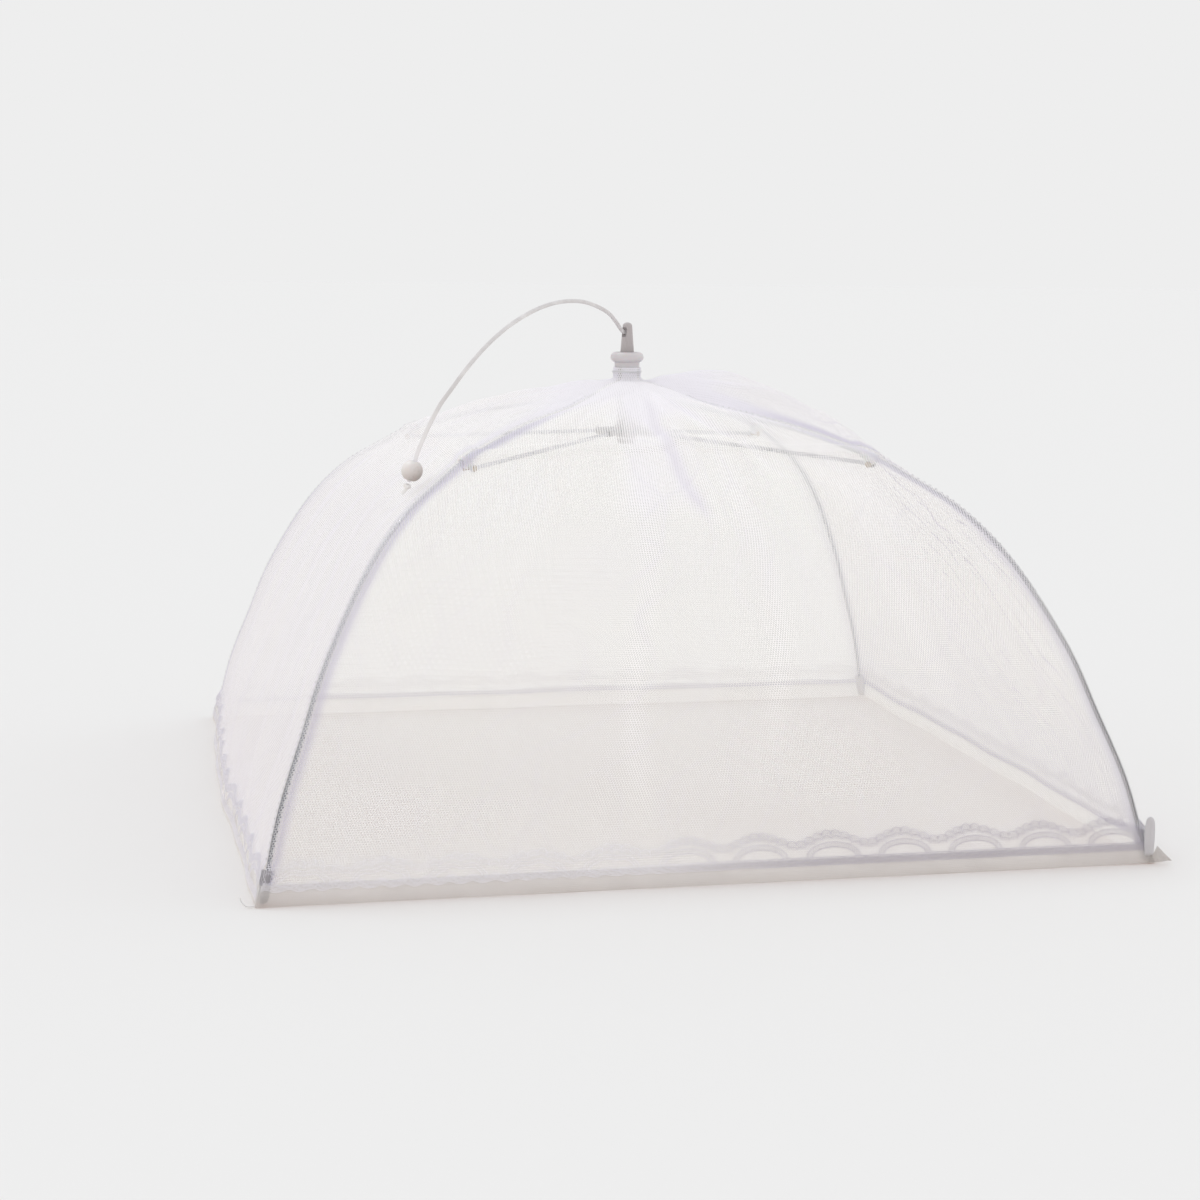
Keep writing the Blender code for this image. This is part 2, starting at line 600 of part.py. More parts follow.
def shell(grid, across, half_thickness, upright_rows=()):
    """A closed cloth of even thickness round a grid of middle points."""
    pts = np.array([[list(p) for p in row] for row in grid])
    down = np.gradient(pts, axis=0)
    side = np.gradient(pts, axis=1)
    normals = np.cross(side, down)
    for row in range(len(grid)):
        if row in upright_rows:
            normals[row, :, 2] = 0
    for column in (0, -1):
        middle = math.radians(PANELS[across[column][0]])
        tangent = np.array([-math.sin(middle), math.cos(middle), 0])
        normals[:, column] -= np.outer(normals[:, column] @ tangent, tangent)
    normals /= np.linalg.norm(normals, axis=2)[..., None]
    if (normals[len(grid) // 2, len(across) // 2] @ pts[len(grid) // 2, len(across) // 2]) < 0:
        normals = -normals
    bm = bmesh.new()
    layers = [[[bm.verts.new(p) for p in row] for row in pts + sign * half_thickness * normals]
              for sign in (1, -1)]
    rows, columns = len(grid), len(across)
    for layer in layers:
        for i in range(rows - 1):
            for j in range(columns - 1):
                bm.faces.new((layer[i][j], layer[i][j + 1], layer[i + 1][j + 1], layer[i + 1][j]))
    outer, inner = layers
    border = [(i, 0) for i in range(rows)] + [(rows - 1, j) for j in range(1, columns)]
    border += [(i, columns - 1) for i in range(rows - 2, -1, -1)]
    border += [(0, j) for j in range(columns - 2, 0, -1)]
    for (a, b), (c, d) in zip(border, border[1:] + border[:1]):
        bm.faces.new((outer[a][b], outer[c][d], inner[c][d], inner[a][b]))
    return bm


def add_cloth(name, bm, colour_name, hinge):
    bpy.context.view_layer.update()
    bmesh.ops.transform(bm, matrix=hinge.matrix_world.inverted(), verts=bm.verts)
    add_object(name, mesh_from(bm, name), colour_name, hinge)


def make_net(name, degrees, hinge):
    half = NET_T / 2
    rows = [((NECK_R, PIVOT_HEIGHT + rise), (0, -1)) for rise in (NECK_TOP_RISE, NECK_TURN_RISE)]
    start = float(np.interp(NECK_FOOT_R, ARCH[:, 0], ARCH_ALONG))
    rows += [(meridian(s, half), arch_at(s)[1]) for s in arch_stations(start, NET_END_ALONG)]
    grid, across = cover_grid(degrees, rows, COLUMNS_PER_HALF)
    add_cloth("net_" + name, shell(grid, across, half), "net", hinge)


def make_hem(name, degrees, hinge):
    """The doubled band from the net's lower edge straight down to the table."""
    half = HEM_T / 2
    top = meridian(HEM_ALONG, half)
    foot = np.array([CORNER_REACH - half * math.sqrt(2), 0])
    way = arch_at(TABLE_ALONG)[1]
    rows = [(top, way), ((top + foot) / 2, way), (foot, way)]
    grid, across = cover_grid(degrees, rows, COLUMNS_PER_HALF)
    add_cloth("hem_" + name, shell(grid, across, half, upright_rows=(2,)), "hem", hinge)


def make_lace(name, degrees, hinge):
    """A scalloped band on the outside of the net, just above the hem."""
    half = LACE_T / 2
    columns = 4 * LACE_MOTIFS_PER_HALF_SIDE
    out = NET_T / 2 + GAP + half
    shape = []
    for s in (LACE_TOP_ALONG, POCKET_ALONG - GAP, NET_END_ALONG - GAP):
        shape.append((meridian(s, NET_T / 2, out), arch_at(s)[1]))
    grid, across = cover_grid(degrees, shape, columns)
    top, below = grid[0], grid[1]
    for j, (_, u) in enumerate(across):
        dip = LACE_SCALLOP * abs(math.sin(math.pi * u * LACE_MOTIFS_PER_HALF_SIDE))
        drop = (below[j] - top[j]).normalized() * (LACE_SCALLOP - dip)
        top[j] = top[j] + drop
    add_cloth("lace_" + name, shell(grid, across, half), "lace", hinge)


# Stretchers, from the runner out to the clips

def make_stretcher(name, hinge):
    inner = Vector((0, 0, 0))
    outer = Vector((JOINT_REACH - RUNNER_PIN_CIRCLE_R, STRETCHER_SIDESTEP, JOINT_HEIGHT - RUNNER_HEIGHT))
    way = (outer - inner).normalized()
    hole = RIVET_R + GAP
    wire = bmesh.new()
    ends = (inner + way * (EYE_HOLE_R + EYE_WALL / 2), outer - way * (hole + EYE_WALL / 2))
    rod(wire, *ends, WIRE_R, WIRE_SIDES)
    bm = boolean(wire, eye_ring(inner, EYE_R, EYE_HOLE_R, -EYE_T / 2, EYE_T / 2), "UNION")
    outer_eye = eye_ring(outer, hole + EYE_WALL, hole, -EYE_T / 2, EYE_T / 2)
    bm = boolean(bm, outer_eye, "UNION")
    add_object("stretcher_" + name, mesh_from(bm, "stretcher"), "steel", hinge)
    sleeve_r = WIRE_R + GAP + SLEEVE_WALL
    profile = [(WIRE_R + GAP, SLEEVE_START), (sleeve_r, SLEEVE_START),
               (sleeve_r, SLEEVE_START + SLEEVE_LENGTH), (WIRE_R + GAP, SLEEVE_START + SLEEVE_LENGTH)]
    bm = turned(profile, inner, way, SMALL_SIDES)
    add_object("stretcher_sleeve_" + name, mesh_from(bm, "sleeve"), "grey_plastic", hinge)
    far = EYE_T / 2 + GAP
    near = CHEEK_FACE + 2 * GAP - STRETCHER_SIDESTEP
    profile = [(RIVET_R, near), (RIVET_R, far), (RIVET_HEAD_R, far), (RIVET_HEAD_R, far + RIVET_HEAD_T)]
    bm = turned(profile, outer, (0, 1, 0), SMALL_SIDES, closed=False)
    add_object("rivet_tail_" + name, mesh_from(bm, "rivet_tail"), "brass", hinge)


# Cord, bead and knot

def cord_points():
    """Even points along a smooth curve through the route's own points."""
    line = smooth_curve(CORD_ROUTE, 12)
    along = lengths_along(line)
    count = int(along[-1] / (CORD_POINT_SPACING_SHARE * 2 * CORD_R))
    even = np.linspace(0, along[-1], count + 1)
    return [[float(np.interp(s, along, line[:, k])) for k in range(3)] for s in even], float(along[-1])


def bead_axis():
    """The cord's direction as it enters the bead."""
    points = cord_points()[0]
    return (Vector(points[-1]) - Vector(points[-2])).normalized()


def make_cord(slider):
    points, length = cord_points()
    axis = bead_axis()
    points.append(list(Vector(points[-1]) + axis * (BEAD_R + GAP)))
    curve = bpy.data.curves.new("pull_cord", "CURVE")
    curve.dimensions = "3D"
    curve.bevel_depth = CORD_R
    curve.bevel_resolution = 2
    curve.use_fill_caps = True
    spline = curve.splines.new("POLY")
    spline.points.add(len(points) - 1)
    for point, place in zip(spline.points, points):
        point.co = (place[0], place[1], place[2] - RUNNER_HEIGHT, 1)
    add_object("pull_cord", curve, "cord", slider)
    print("cord from the pin's eye to the knot %.4f m" % (length + BEAD_R + GAP))


def bead_swing():
    """Pivot, axis and angle by which the cord's arc brings the bead to the ring."""
    start = Vector(cord_points()[0][-1])
    bore = PIN_SHOULDER_R + GAP
    seat = Vector((0, 0, RING_HEIGHT + RING_HALF + GAP + math.sqrt(BEAD_R**2 - bore**2)))
    outward = Vector((start.x, start.y, 0)).normalized()
    turn = math.pi / 2 - math.atan2(bead_axis().z, bead_axis().dot(outward))
    axis = outward.cross(Vector((0, 0, 1)))
    chord = seat - start
    return (start + seat) / 2 + axis.cross(chord) / (2 * math.tan(turn / 2)), axis, turn


def make_bead():
    pivot, swing_axis, turn = bead_swing()
    print("bead swings about", [round(x, 6) for x in pivot], [round(x, 7) for x in swing_axis],
          "by %.4f degrees" % math.degrees(turn))
    axis = bead_axis()
    centre = Vector(cord_points()[0][-1]) - pivot
    carrier = add_hinge("bead_swing", pivot)
    flat_angle = math.degrees(math.acos(2 * BEAD_BORE_R / BEAD_R))
    outline = arc_profile(0, 0, BEAD_R, BEAD_R, -flat_angle, flat_angle, 12)
    half = outline[-1][1]
    profile = outline + [(BEAD_BORE_R, half), (BEAD_BORE_R, -half)]
    bm = turned(profile, centre, axis, SMALL_SIDES)
    add_object("pull_bead", mesh_from(bm, "pull_bead"), "bead", carrier)
    knot_centre = centre + axis * (BEAD_R + 2 * GAP + KNOT_R)
    outline = arc_profile(0, 0, KNOT_R, KNOT_R, -80, 80, 6)
    knot = turned(outline, knot_centre, axis, SMALL_SIDES, closed=False)
    add_object("cord_knot", mesh_from(knot, "cord_knot"), "cord", carrier)


def main():
    clear_scene()
    make_ferrule()
    make_ring_wire("rib_tie_wire", RIB_PIN_CIRCLE_R, PIVOT_HEIGHT, TIE_WIRE_R, "steel")
    thread_ring_r = (NECK_R + NET_T / 2 + GAP) / math.cos(math.pi / HUB_SIDES) + THREAD_R
    make_ring_wire("neck_thread", thread_ring_r, PIVOT_HEIGHT + THREAD_RISE, THREAD_R, "thread")
    slider = add_hinge("runner_slide", (0, 0, RUNNER_HEIGHT))
    make_runner(slider)
    make_pull_pin(slider)
    make_ring_wire("stretcher_tie_wire", RUNNER_PIN_CIRCLE_R, 0, TIE_WIRE_R, "steel", slider)
    for name, degrees in RIB_NAMES.items():
        way = Vector((math.cos(math.radians(degrees)), math.sin(math.radians(degrees)), 0))
        rib_pin = RIB_PIN_CIRCLE_R * way + Vector((0, 0, PIVOT_HEIGHT))
        hinge = add_hinge("rib_hinge_" + name, rib_pin, degrees)
        make_rib(name, hinge)
        make_rib_clip(name, hinge)
        make_clip_rivet(name, hinge)
        make_corner_pocket(name, hinge)
        make_net(name, degrees, hinge)
        make_hem(name, degrees, hinge)
        make_lace(name, degrees, hinge)
        stretcher_pin = RUNNER_PIN_CIRCLE_R * way + Vector((0, 0, RUNNER_HEIGHT))
        make_stretcher(name, add_hinge("stretcher_hinge_" + name, stretcher_pin, degrees))
    make_cord(slider)
    make_bead()
    print({k: round(v, 6) for k, v in fold_numbers().items()})


main()
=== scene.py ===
# %% [markdown]
# # A pop-up mesh food cover
#
# The object is a square net dome that opens like a small umbrella. Four sprung wire ribs and four short
# stretchers hang from a white plastic hub, and a net with a lace edge is sewn over them. This notebook
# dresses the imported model: it keeps its places and its motion, and gives every part its real surface.
# Everything is in metres, with +Z up and the table at zero.

import json
import math

import bpy
import numpy as np
from mathutils import Matrix, Vector


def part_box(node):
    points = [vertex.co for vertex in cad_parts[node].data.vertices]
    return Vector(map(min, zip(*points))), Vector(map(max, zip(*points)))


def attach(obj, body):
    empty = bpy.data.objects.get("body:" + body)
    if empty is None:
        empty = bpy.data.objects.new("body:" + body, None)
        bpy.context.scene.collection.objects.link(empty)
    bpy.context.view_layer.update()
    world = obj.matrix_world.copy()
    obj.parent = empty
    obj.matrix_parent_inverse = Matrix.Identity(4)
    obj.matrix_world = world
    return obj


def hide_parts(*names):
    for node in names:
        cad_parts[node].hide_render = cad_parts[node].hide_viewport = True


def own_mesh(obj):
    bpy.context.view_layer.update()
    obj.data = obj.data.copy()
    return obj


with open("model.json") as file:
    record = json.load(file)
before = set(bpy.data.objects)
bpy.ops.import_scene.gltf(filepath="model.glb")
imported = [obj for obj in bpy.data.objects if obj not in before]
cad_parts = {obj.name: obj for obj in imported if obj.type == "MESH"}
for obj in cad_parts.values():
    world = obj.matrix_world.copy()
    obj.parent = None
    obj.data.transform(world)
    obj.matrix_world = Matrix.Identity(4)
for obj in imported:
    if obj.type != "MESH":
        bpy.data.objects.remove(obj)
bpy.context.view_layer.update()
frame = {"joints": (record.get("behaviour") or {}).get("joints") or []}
scene = bpy.context.scene

# %% [markdown]
# ## The camera
#
# The camera's place and turn were solved from the four corners of the hem and from the rib joints, for a
# cover that is 41 cm square. A long lens a little above the table gives the flat, calm view of a
# catalogue picture. Writing the three directions of the camera as a matrix avoids guessing Euler angles.

# %% Camera
CAMERA_PLACE = Vector((-0.2584, -1.1277, 0.2697))
CAMERA_YAW = math.radians(12.28)
CAMERA_PITCH = math.radians(8.52)
CAMERA_ROLL = math.radians(0.59)
FOCAL_PIXELS, FRAME_PIXELS, SENSOR_MM = 2237.4, 1200, 36

ahead = Vector((math.sin(CAMERA_YAW) * math.cos(CAMERA_PITCH),
                math.cos(CAMERA_YAW) * math.cos(CAMERA_PITCH), -math.sin(CAMERA_PITCH)))
level = Vector((math.cos(CAMERA_YAW), -math.sin(CAMERA_YAW), 0))
upright = level.cross(ahead)
to_right = level * math.cos(CAMERA_ROLL) + upright * math.sin(CAMERA_ROLL)
to_top = upright * math.cos(CAMERA_ROLL) - level * math.sin(CAMERA_ROLL)
bpy.ops.object.camera_add(location=CAMERA_PLACE)
camera = bpy.context.object
camera.name = "photo_camera"
turn = Matrix((to_right, to_top, -ahead)).transposed().to_4x4()
camera.matrix_world = Matrix.Translation(CAMERA_PLACE) @ turn
camera.data.sensor_width = SENSOR_MM
camera.data.lens = SENSOR_MM * FOCAL_PIXELS / FRAME_PIXELS
scene.camera = camera
print("lens: %.1f mm" % camera.data.lens)

# %% [markdown]
# ## Working habits
#
# An operator acts on all that is selected, so each step starts by selecting nothing. A finished piece has
# its place in its mesh and sits at the origin, rides on the body that carries it, and names the finish
# that it takes. These small helpers say that once.

# %% Helpers for selecting and finishing
def deselect():
    if bpy.context.object and bpy.context.object.mode != "OBJECT":
        bpy.ops.object.mode_set(mode="OBJECT")
    bpy.ops.object.select_all(action="DESELECT")


def only(piece):
    deselect()
    piece.select_set(True)
    bpy.context.view_layer.objects.active = piece
    return piece


def apply_modifiers(piece):
    only(piece)
    for modifier in list(piece.modifiers):
        bpy.ops.object.modifier_apply(modifier=modifier.name)


def finished(piece, name, material, body, stands_for=()):
    """Puts the piece's place into its mesh, names and paints it, and hangs it on its body."""
    only(piece)
    bpy.ops.object.transform_apply(location=True, rotation=True, scale=True)
    piece.name = name
    piece.data.name = name
    piece.data.materials.clear()
    piece.data.materials.append(material)
    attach(piece, body)
    if stands_for:
        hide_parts(*stands_for)
    print(name, "has", len(piece.data.polygons), "faces and rides on", body)
    return piece


# %% Helpers for meshes
def outward(piece, merge=0.0):
    """Merges doubles and turns all faces outwards."""
    only(piece)
    bpy.ops.object.mode_set(mode="EDIT")
    bpy.ops.mesh.select_all(action="SELECT")
    if merge:
        bpy.ops.mesh.remove_doubles(threshold=merge)
    bpy.ops.mesh.normals_make_consistent(inside=False)
    bpy.ops.object.mode_set(mode="OBJECT")


def mesh_object(name, points, faces):
    mesh = bpy.data.meshes.new(name)
    mesh.from_pydata([tuple(p) for p in points], [], faces)
    piece = bpy.data.objects.new(name, mesh)
    bpy.context.collection.objects.link(piece)
    return piece


# %% [markdown]
# ## Shader helpers
#
# Node trees are easier to read when each node is made in one line. A shared effect is a node group with
# named inputs, and gives out only a mask or a value, so that any material can use it at its own scale.

# %% A plain material
def plastic_base(name, colour, roughness, metallic=0.0):
    """A material with one Principled shader, and its tree and shader for what is added."""
    material = bpy.data.materials.new(name)
    material.use_nodes = True
    tree = material.node_tree
    shader = tree.nodes["Principled BSDF"]
    shader.inputs["Base Color"].default_value = (*colour, 1)
    shader.inputs["Roughness"].default_value = roughness
    shader.inputs["Metallic"].default_value = metallic
    return material, tree, shader


# %% Helpers for values
def math_node(tree, operation, *values):
    node = tree.nodes.new("ShaderNodeMath")
    node.operation = operation
    for socket, value in zip(node.inputs, values):
        if isinstance(value, bpy.types.NodeSocket):
            tree.links.new(value, socket)
        else:
            socket.default_value = value
    return node.outputs[0]


def vector_node(tree, operation, *values):
    node = tree.nodes.new("ShaderNodeVectorMath")
    node.operation = operation
    for socket, value in zip(node.inputs, values):
        if isinstance(value, bpy.types.NodeSocket):
            tree.links.new(value, socket)
        else:
            socket.default_value = value
    return node.outputs[0]


def range_node(tree, value, low, high, out_low, out_high):
    node = tree.nodes.new("ShaderNodeMapRange")
    for socket, number in zip(node.inputs[1:5], (low, high, out_low, out_high)):
        socket.default_value = number
    tree.links.new(value, node.inputs[0])
    return node.outputs[0]


# %% Helpers for colours and bumps
def colour_mix(tree, share, first, second):
    node = tree.nodes.new("ShaderNodeMix")
    node.data_type = "RGBA"
    tree.links.new(share, node.inputs["Factor"])
    for socket, colour in ((node.inputs[6], first), (node.inputs[7], second)):
        if isinstance(colour, bpy.types.NodeSocket):
            tree.links.new(colour, socket)
        else:
            socket.default_value = (*colour, 1)
    return node.outputs[2]


def bump_into(tree, shader, height, strength, distance):
    node = tree.nodes.new("ShaderNodeBump")
    node.inputs["Strength"].default_value = strength
    node.inputs["Distance"].default_value = distance
    tree.links.new(height, node.inputs["Height"])
    tree.links.new(node.outputs["Normal"], shader.inputs["Normal"])


# %% Helpers for node groups
def new_group(name, inputs, outputs):
    """An empty node group with its in and out nodes; each input is (name, type, value)."""
    group = bpy.data.node_groups.new(name, "ShaderNodeTree")
    for label, kind, value in inputs:
        socket = group.interface.new_socket(label, in_out="INPUT", socket_type=kind)
        if value is not None:
            socket.default_value = value
    for label, kind in outputs:
        group.interface.new_socket(label, in_out="OUTPUT", socket_type=kind)
    return group, group.nodes.new("NodeGroupInput").outputs, group.nodes.new("NodeGroupOutput").inputs


def place_group(tree, group, **values):
    node = tree.nodes.new("ShaderNodeGroup")
    node.node_tree = group
    for label, value in values.items():
        if isinstance(value, bpy.types.NodeSocket):
            tree.links.new(value, node.inputs[label])
        else:
            node.inputs[label].default_value = value
    return node.outputs


def uv_of(tree):
    return tree.nodes.new("ShaderNodeUVMap").outputs[0]


def object_coordinates(tree):
    return tree.nodes.new("ShaderNodeTexCoord").outputs["Object"]


# %% [markdown]
# ## Mottled grain
#
# No real surface has one even colour. Moulded plastic has cloudy patches, drawn wire has specks, and
# handled cloth is soiled in places. One noise can serve all of them, if each material sets how large its
# spots are, so it is made once as a node group.

# %% Shared effect: mottled grain
grain, grain_in, grain_out = new_group(
    "mottled_grain", [("Scale", "NodeSocketFloat", 400.0), ("Detail", "NodeSocketFloat", 3.0)],
    [("Value", "NodeSocketFloat")])
noise_node = grain.nodes.new("ShaderNodeTexNoise")
grain.links.new(grain.nodes.new("ShaderNodeTexCoord").outputs["Object"], noise_node.inputs["Vector"])
grain.links.new(grain_in["Scale"], noise_node.inputs["Scale"])
grain.links.new(grain_in["Detail"], noise_node.inputs["Detail"])
grain.links.new(noise_node.outputs["Fac"], grain_out["Value"])
print("group:", grain.name)

# %% [markdown]
# ## The net's holes
#
# The net is a tulle: threads knitted into six-sided holes 1.2 mm apart. Modelling each thread would take
# millions of faces, so the cloth is a thin sheet and the holes are cut by its material. A point is
# wrapped into two shifted grids of cells; the nearer cell's centre is the middle of the hole, and the
# six-sided distance from it says where the thread starts. The sheet's UV map is in real metres.

# %% Shared effect: tulle holes
HEX_WIDTH = math.sqrt(3)
SOFT_EDGE = 0.08
holes, holes_in, holes_out = new_group(
    "tulle_holes", [("Place", "NodeSocketVector", None), ("Pitch", "NodeSocketFloat", 0.0012),
                    ("Hole", "NodeSocketFloat", 0.37)],
    [("Thread", "NodeSocketFloat"), ("Height", "NodeSocketFloat")])
per_pitch = math_node(holes, "DIVIDE", 1.0, holes_in["Pitch"])
scaled = holes.nodes.new("ShaderNodeVectorMath")
scaled.operation = "SCALE"
holes.links.new(holes_in["Place"], scaled.inputs[0])
holes.links.new(per_pitch, scaled.inputs["Scale"])


def cell_distance(shift):
    """Six-sided distance from the middle of the cell that the point lies in."""
    moved = vector_node(holes, "ADD", scaled.outputs[0], (shift, shift * HEX_WIDTH, 0))
    cell = vector_node(holes, "WRAP", moved, (0.5, HEX_WIDTH / 2, 0.5), (-0.5, -HEX_WIDTH / 2, -0.5))
    parts = holes.nodes.new("ShaderNodeSeparateXYZ")
    holes.links.new(vector_node(holes, "ABSOLUTE", cell), parts.inputs[0])
    slanted = math_node(holes, "ADD", math_node(holes, "MULTIPLY", parts.outputs[0], 0.5),
                        math_node(holes, "MULTIPLY", parts.outputs[1], HEX_WIDTH / 2))
    return math_node(holes, "MAXIMUM", parts.outputs[0], slanted)


from_middle = math_node(holes, "MINIMUM", cell_distance(0.0), cell_distance(0.5))
thread_edge = holes.nodes.new("ShaderNodeMapRange")
holes.links.new(from_middle, thread_edge.inputs["Value"])
holes.links.new(math_node(holes, "SUBTRACT", holes_in["Hole"], SOFT_EDGE), thread_edge.inputs["From Min"])
holes.links.new(math_node(holes, "ADD", holes_in["Hole"], SOFT_EDGE), thread_edge.inputs["From Max"])
holes.links.new(thread_edge.outputs[0], holes_out["Thread"])
holes.links.new(from_middle, holes_out["Height"])
print("group:", holes.name)

# %% [markdown]
# ## Crumple lines
#
# Cloth that was folded up for weeks keeps fine wavy creases. They could be modelled, but each is thinner
# than a hole of the net. Every vertex of the net says how far across and along the cloth it lies, and a
# thin line is drawn wherever that measure, bent by a noise, passes a whole number. A second family
# crosses the first at a slant, and another noise breaks the lines up.

# %% Shared effect: crumple lines
CREASE_COUNT, SLANTED_COUNT, CREASE_SLANT = 15.0, 12.0, 1.1
CREASE_HALF = 0.095
CREASE_WANDER, SLANTED_WANDER = 4.0, 3.6
LINES_SHOW = (0.36, 0.50)
creases, creases_in, creases_out = new_group(
    "crumple_lines", [("Across", "NodeSocketFloat", 0.0), ("Along", "NodeSocketFloat", 0.0)],
    [("Line", "NodeSocketFloat")])


def wandering(across_scale, along_scale, seed):
    """A noise in the cloth's own directions."""
    place = creases.nodes.new("ShaderNodeCombineXYZ")
    shifted = math_node(creases, "MULTIPLY_ADD", creases_in["Across"], across_scale, seed)
    creases.links.new(shifted, place.inputs[0])
    creases.links.new(math_node(creases, "MULTIPLY", creases_in["Along"], along_scale), place.inputs[1])
    noise = creases.nodes.new("ShaderNodeTexNoise")
    noise.noise_dimensions = "2D"
    noise.inputs["Scale"].default_value = 1.0
    noise.inputs["Detail"].default_value = 1.0
    creases.links.new(place.outputs[0], noise.inputs["Vector"])
    return noise.outputs["Fac"]


def lines_of(slant, count, wander, seed):
    """Thin lines wherever the slanted, wandering measure passes a whole number."""
    measure = math_node(creases, "MULTIPLY_ADD", creases_in["Along"], slant, creases_in["Across"])
    measure = math_node(creases, "MULTIPLY", measure, count)
    wanders = math_node(creases, "MULTIPLY", wandering(2.5, 13, seed), wander)
    measure = math_node(creases, "ADD", measure, wanders)
    fold = math_node(creases, "PINGPONG", measure, 0.5)
    shown = range_node(creases, wandering(5, 9, seed + 3), *LINES_SHOW, 0, 1)
    return math_node(creases, "MULTIPLY", range_node(creases, fold, 0, CREASE_HALF, 1, 0), shown)


straight_lines = lines_of(0.0, CREASE_COUNT, CREASE_WANDER, seed=2.0)
slanted_lines = lines_of(CREASE_SLANT, SLANTED_COUNT, SLANTED_WANDER, seed=9.0)
creases.links.new(math_node(creases, "MAXIMUM", straight_lines, slanted_lines), creases_out["Line"])
print("group:", creases.name)

# %% [markdown]
# ## Cloth finishes
#
# A thin white thread scatters light forwards as well as back, so each cloth mixes a Principled shader
# with a Translucent one. The net's holes are left open with a Transparent shader. Where the cloth is
# gathered, an attribute on the mesh closes the holes, and a glancing view closes them further, because
# round threads hide what is behind them when they are seen from the side.

# %% Helpers for cloth
def cloth_material(name, colour, through, sheen=0.25):
    """A thread-white cloth; returns its tree, its shader and the mix with the light from behind."""
    material, tree, shader = plastic_base(name, colour, 0.85)
    shader.inputs["Sheen Weight"].default_value = sheen
    shader.inputs["Sheen Roughness"].default_value = 0.5
    behind = tree.nodes.new("ShaderNodeBsdfTranslucent")
    behind.inputs["Color"].default_value = (*colour, 1)
    mix = tree.nodes.new("ShaderNodeMixShader")
    mix.inputs[0].default_value = through
    tree.links.new(shader.outputs[0], mix.inputs[1])
    tree.links.new(behind.outputs[0], mix.inputs[2])
    tree.links.new(mix.outputs[0], tree.nodes["Material Output"].inputs["Surface"])
    return material, tree, shader, behind, mix


def open_holes(tree, mix, thread):
    """Lets what is behind show where there is no thread."""
    clear = tree.nodes.new("ShaderNodeBsdfTransparent")
    cut = tree.nodes.new("ShaderNodeMixShader")
    tree.links.new(thread, cut.inputs[0])
    tree.links.new(clear.outputs[0], cut.inputs[1])
    tree.links.new(mix.outputs[0], cut.inputs[2])
    tree.links.new(cut.outputs[0], tree.nodes["Material Output"].inputs["Surface"])


def attribute_value(tree, label):
    node = tree.nodes.new("ShaderNodeAttribute")
    node.attribute_name = label
    return node.outputs["Fac"]


# %% The net's material
NET_PITCH, NET_HOLE = 0.0012, 0.37
NET_WHITE, NET_GATHERED_SHADE = (0.985, 0.985, 0.975), (0.945, 0.935, 0.985)
NET_CREASE_SHADE, NET_SHADE = (0.68, 0.65, 0.77), (0.58, 0.555, 0.69)
GATHER_CLOSES, CREASE_CLOSES = 0.8, 0.5
EDGE_ON_POWER = 3.0


def net_material(name, hole, through=0.35, closing=0.5):
    material, tree, shader, behind, mix = cloth_material(name, NET_WHITE, through)
    gather = attribute_value(tree, "gather")
    crease = math_node(tree, "MULTIPLY", attribute_value(tree, "creased"),
                       place_group(tree, creases, Across=attribute_value(tree, "crease_across"),
                                   Along=attribute_value(tree, "crease_along"))["Line"])
    facing = tree.nodes.new("ShaderNodeLayerWeight")
    facing.inputs["Blend"].default_value = 0.5
    edge_on = math_node(tree, "POWER", facing.outputs["Facing"], EDGE_ON_POWER)
    closed = math_node(tree, "ADD", math_node(tree, "MULTIPLY", gather, GATHER_CLOSES),
                       math_node(tree, "MULTIPLY", crease, CREASE_CLOSES))
    openness = math_node(tree, "MAXIMUM", math_node(tree, "SUBTRACT", 1.0, closed), 0.0)
    openness = math_node(tree, "MULTIPLY", openness, range_node(tree, edge_on, 0, 1, 1, closing))
    cells = place_group(tree, holes, Place=uv_of(tree), Pitch=NET_PITCH,
                        Hole=math_node(tree, "MULTIPLY", openness, hole))
    open_holes(tree, mix, cells["Thread"])
    patch = place_group(tree, grain, Scale=25.0, Detail=4.0)
    patchy = range_node(tree, patch["Value"], 0.4, 0.7, 0, 0.25)
    # Painted shade: gathered net is tinted lavender, and grain patches add a random tone on top.
    gather_shade_and_patches = math_node(tree, "ADD", math_node(tree, "MAXIMUM", gather, 0.0), patchy)
    colour = colour_mix(tree, math_node(tree, "MINIMUM", gather_shade_and_patches, 1.0), NET_WHITE, NET_GATHERED_SHADE)
    colour = colour_mix(tree, attribute_value(tree, "shade"), colour, NET_SHADE)
    # Painted shade: the crease lines are darkened towards the crease colour.
    colour = colour_mix(tree, crease, colour, NET_CREASE_SHADE)
    tree.links.new(colour, shader.inputs["Base Color"])
    tree.links.new(colour, behind.inputs["Color"])
    bump_into(tree, shader, crease, 0.4, 0.0005)
    return material


net_finish = net_material("tulle_net", NET_HOLE)
print("cloth:", net_finish.name)

# %% [markdown]
# ## Hem, lace, thread and corner sleeves
#
# The net's edge is doubled, and lace and thread are closer than net. They could be plain white, but where
# they lie in shade they look grey or lilac, and where daylight comes through they are nearly white. The
# mesh carries that as an attribute named pale, so one material does for all sides of the cover.

# %% Hem, lace and thread
WEAVE_HOLE = 0.34
SOIL_AND_SHADE, SOIL_PATCHES, SHADE_BETWEEN_THREADS, PALE_LIFTS_DARKENING = (0.82, 0.82, 0.82), 0.4, 0.8, 0.8


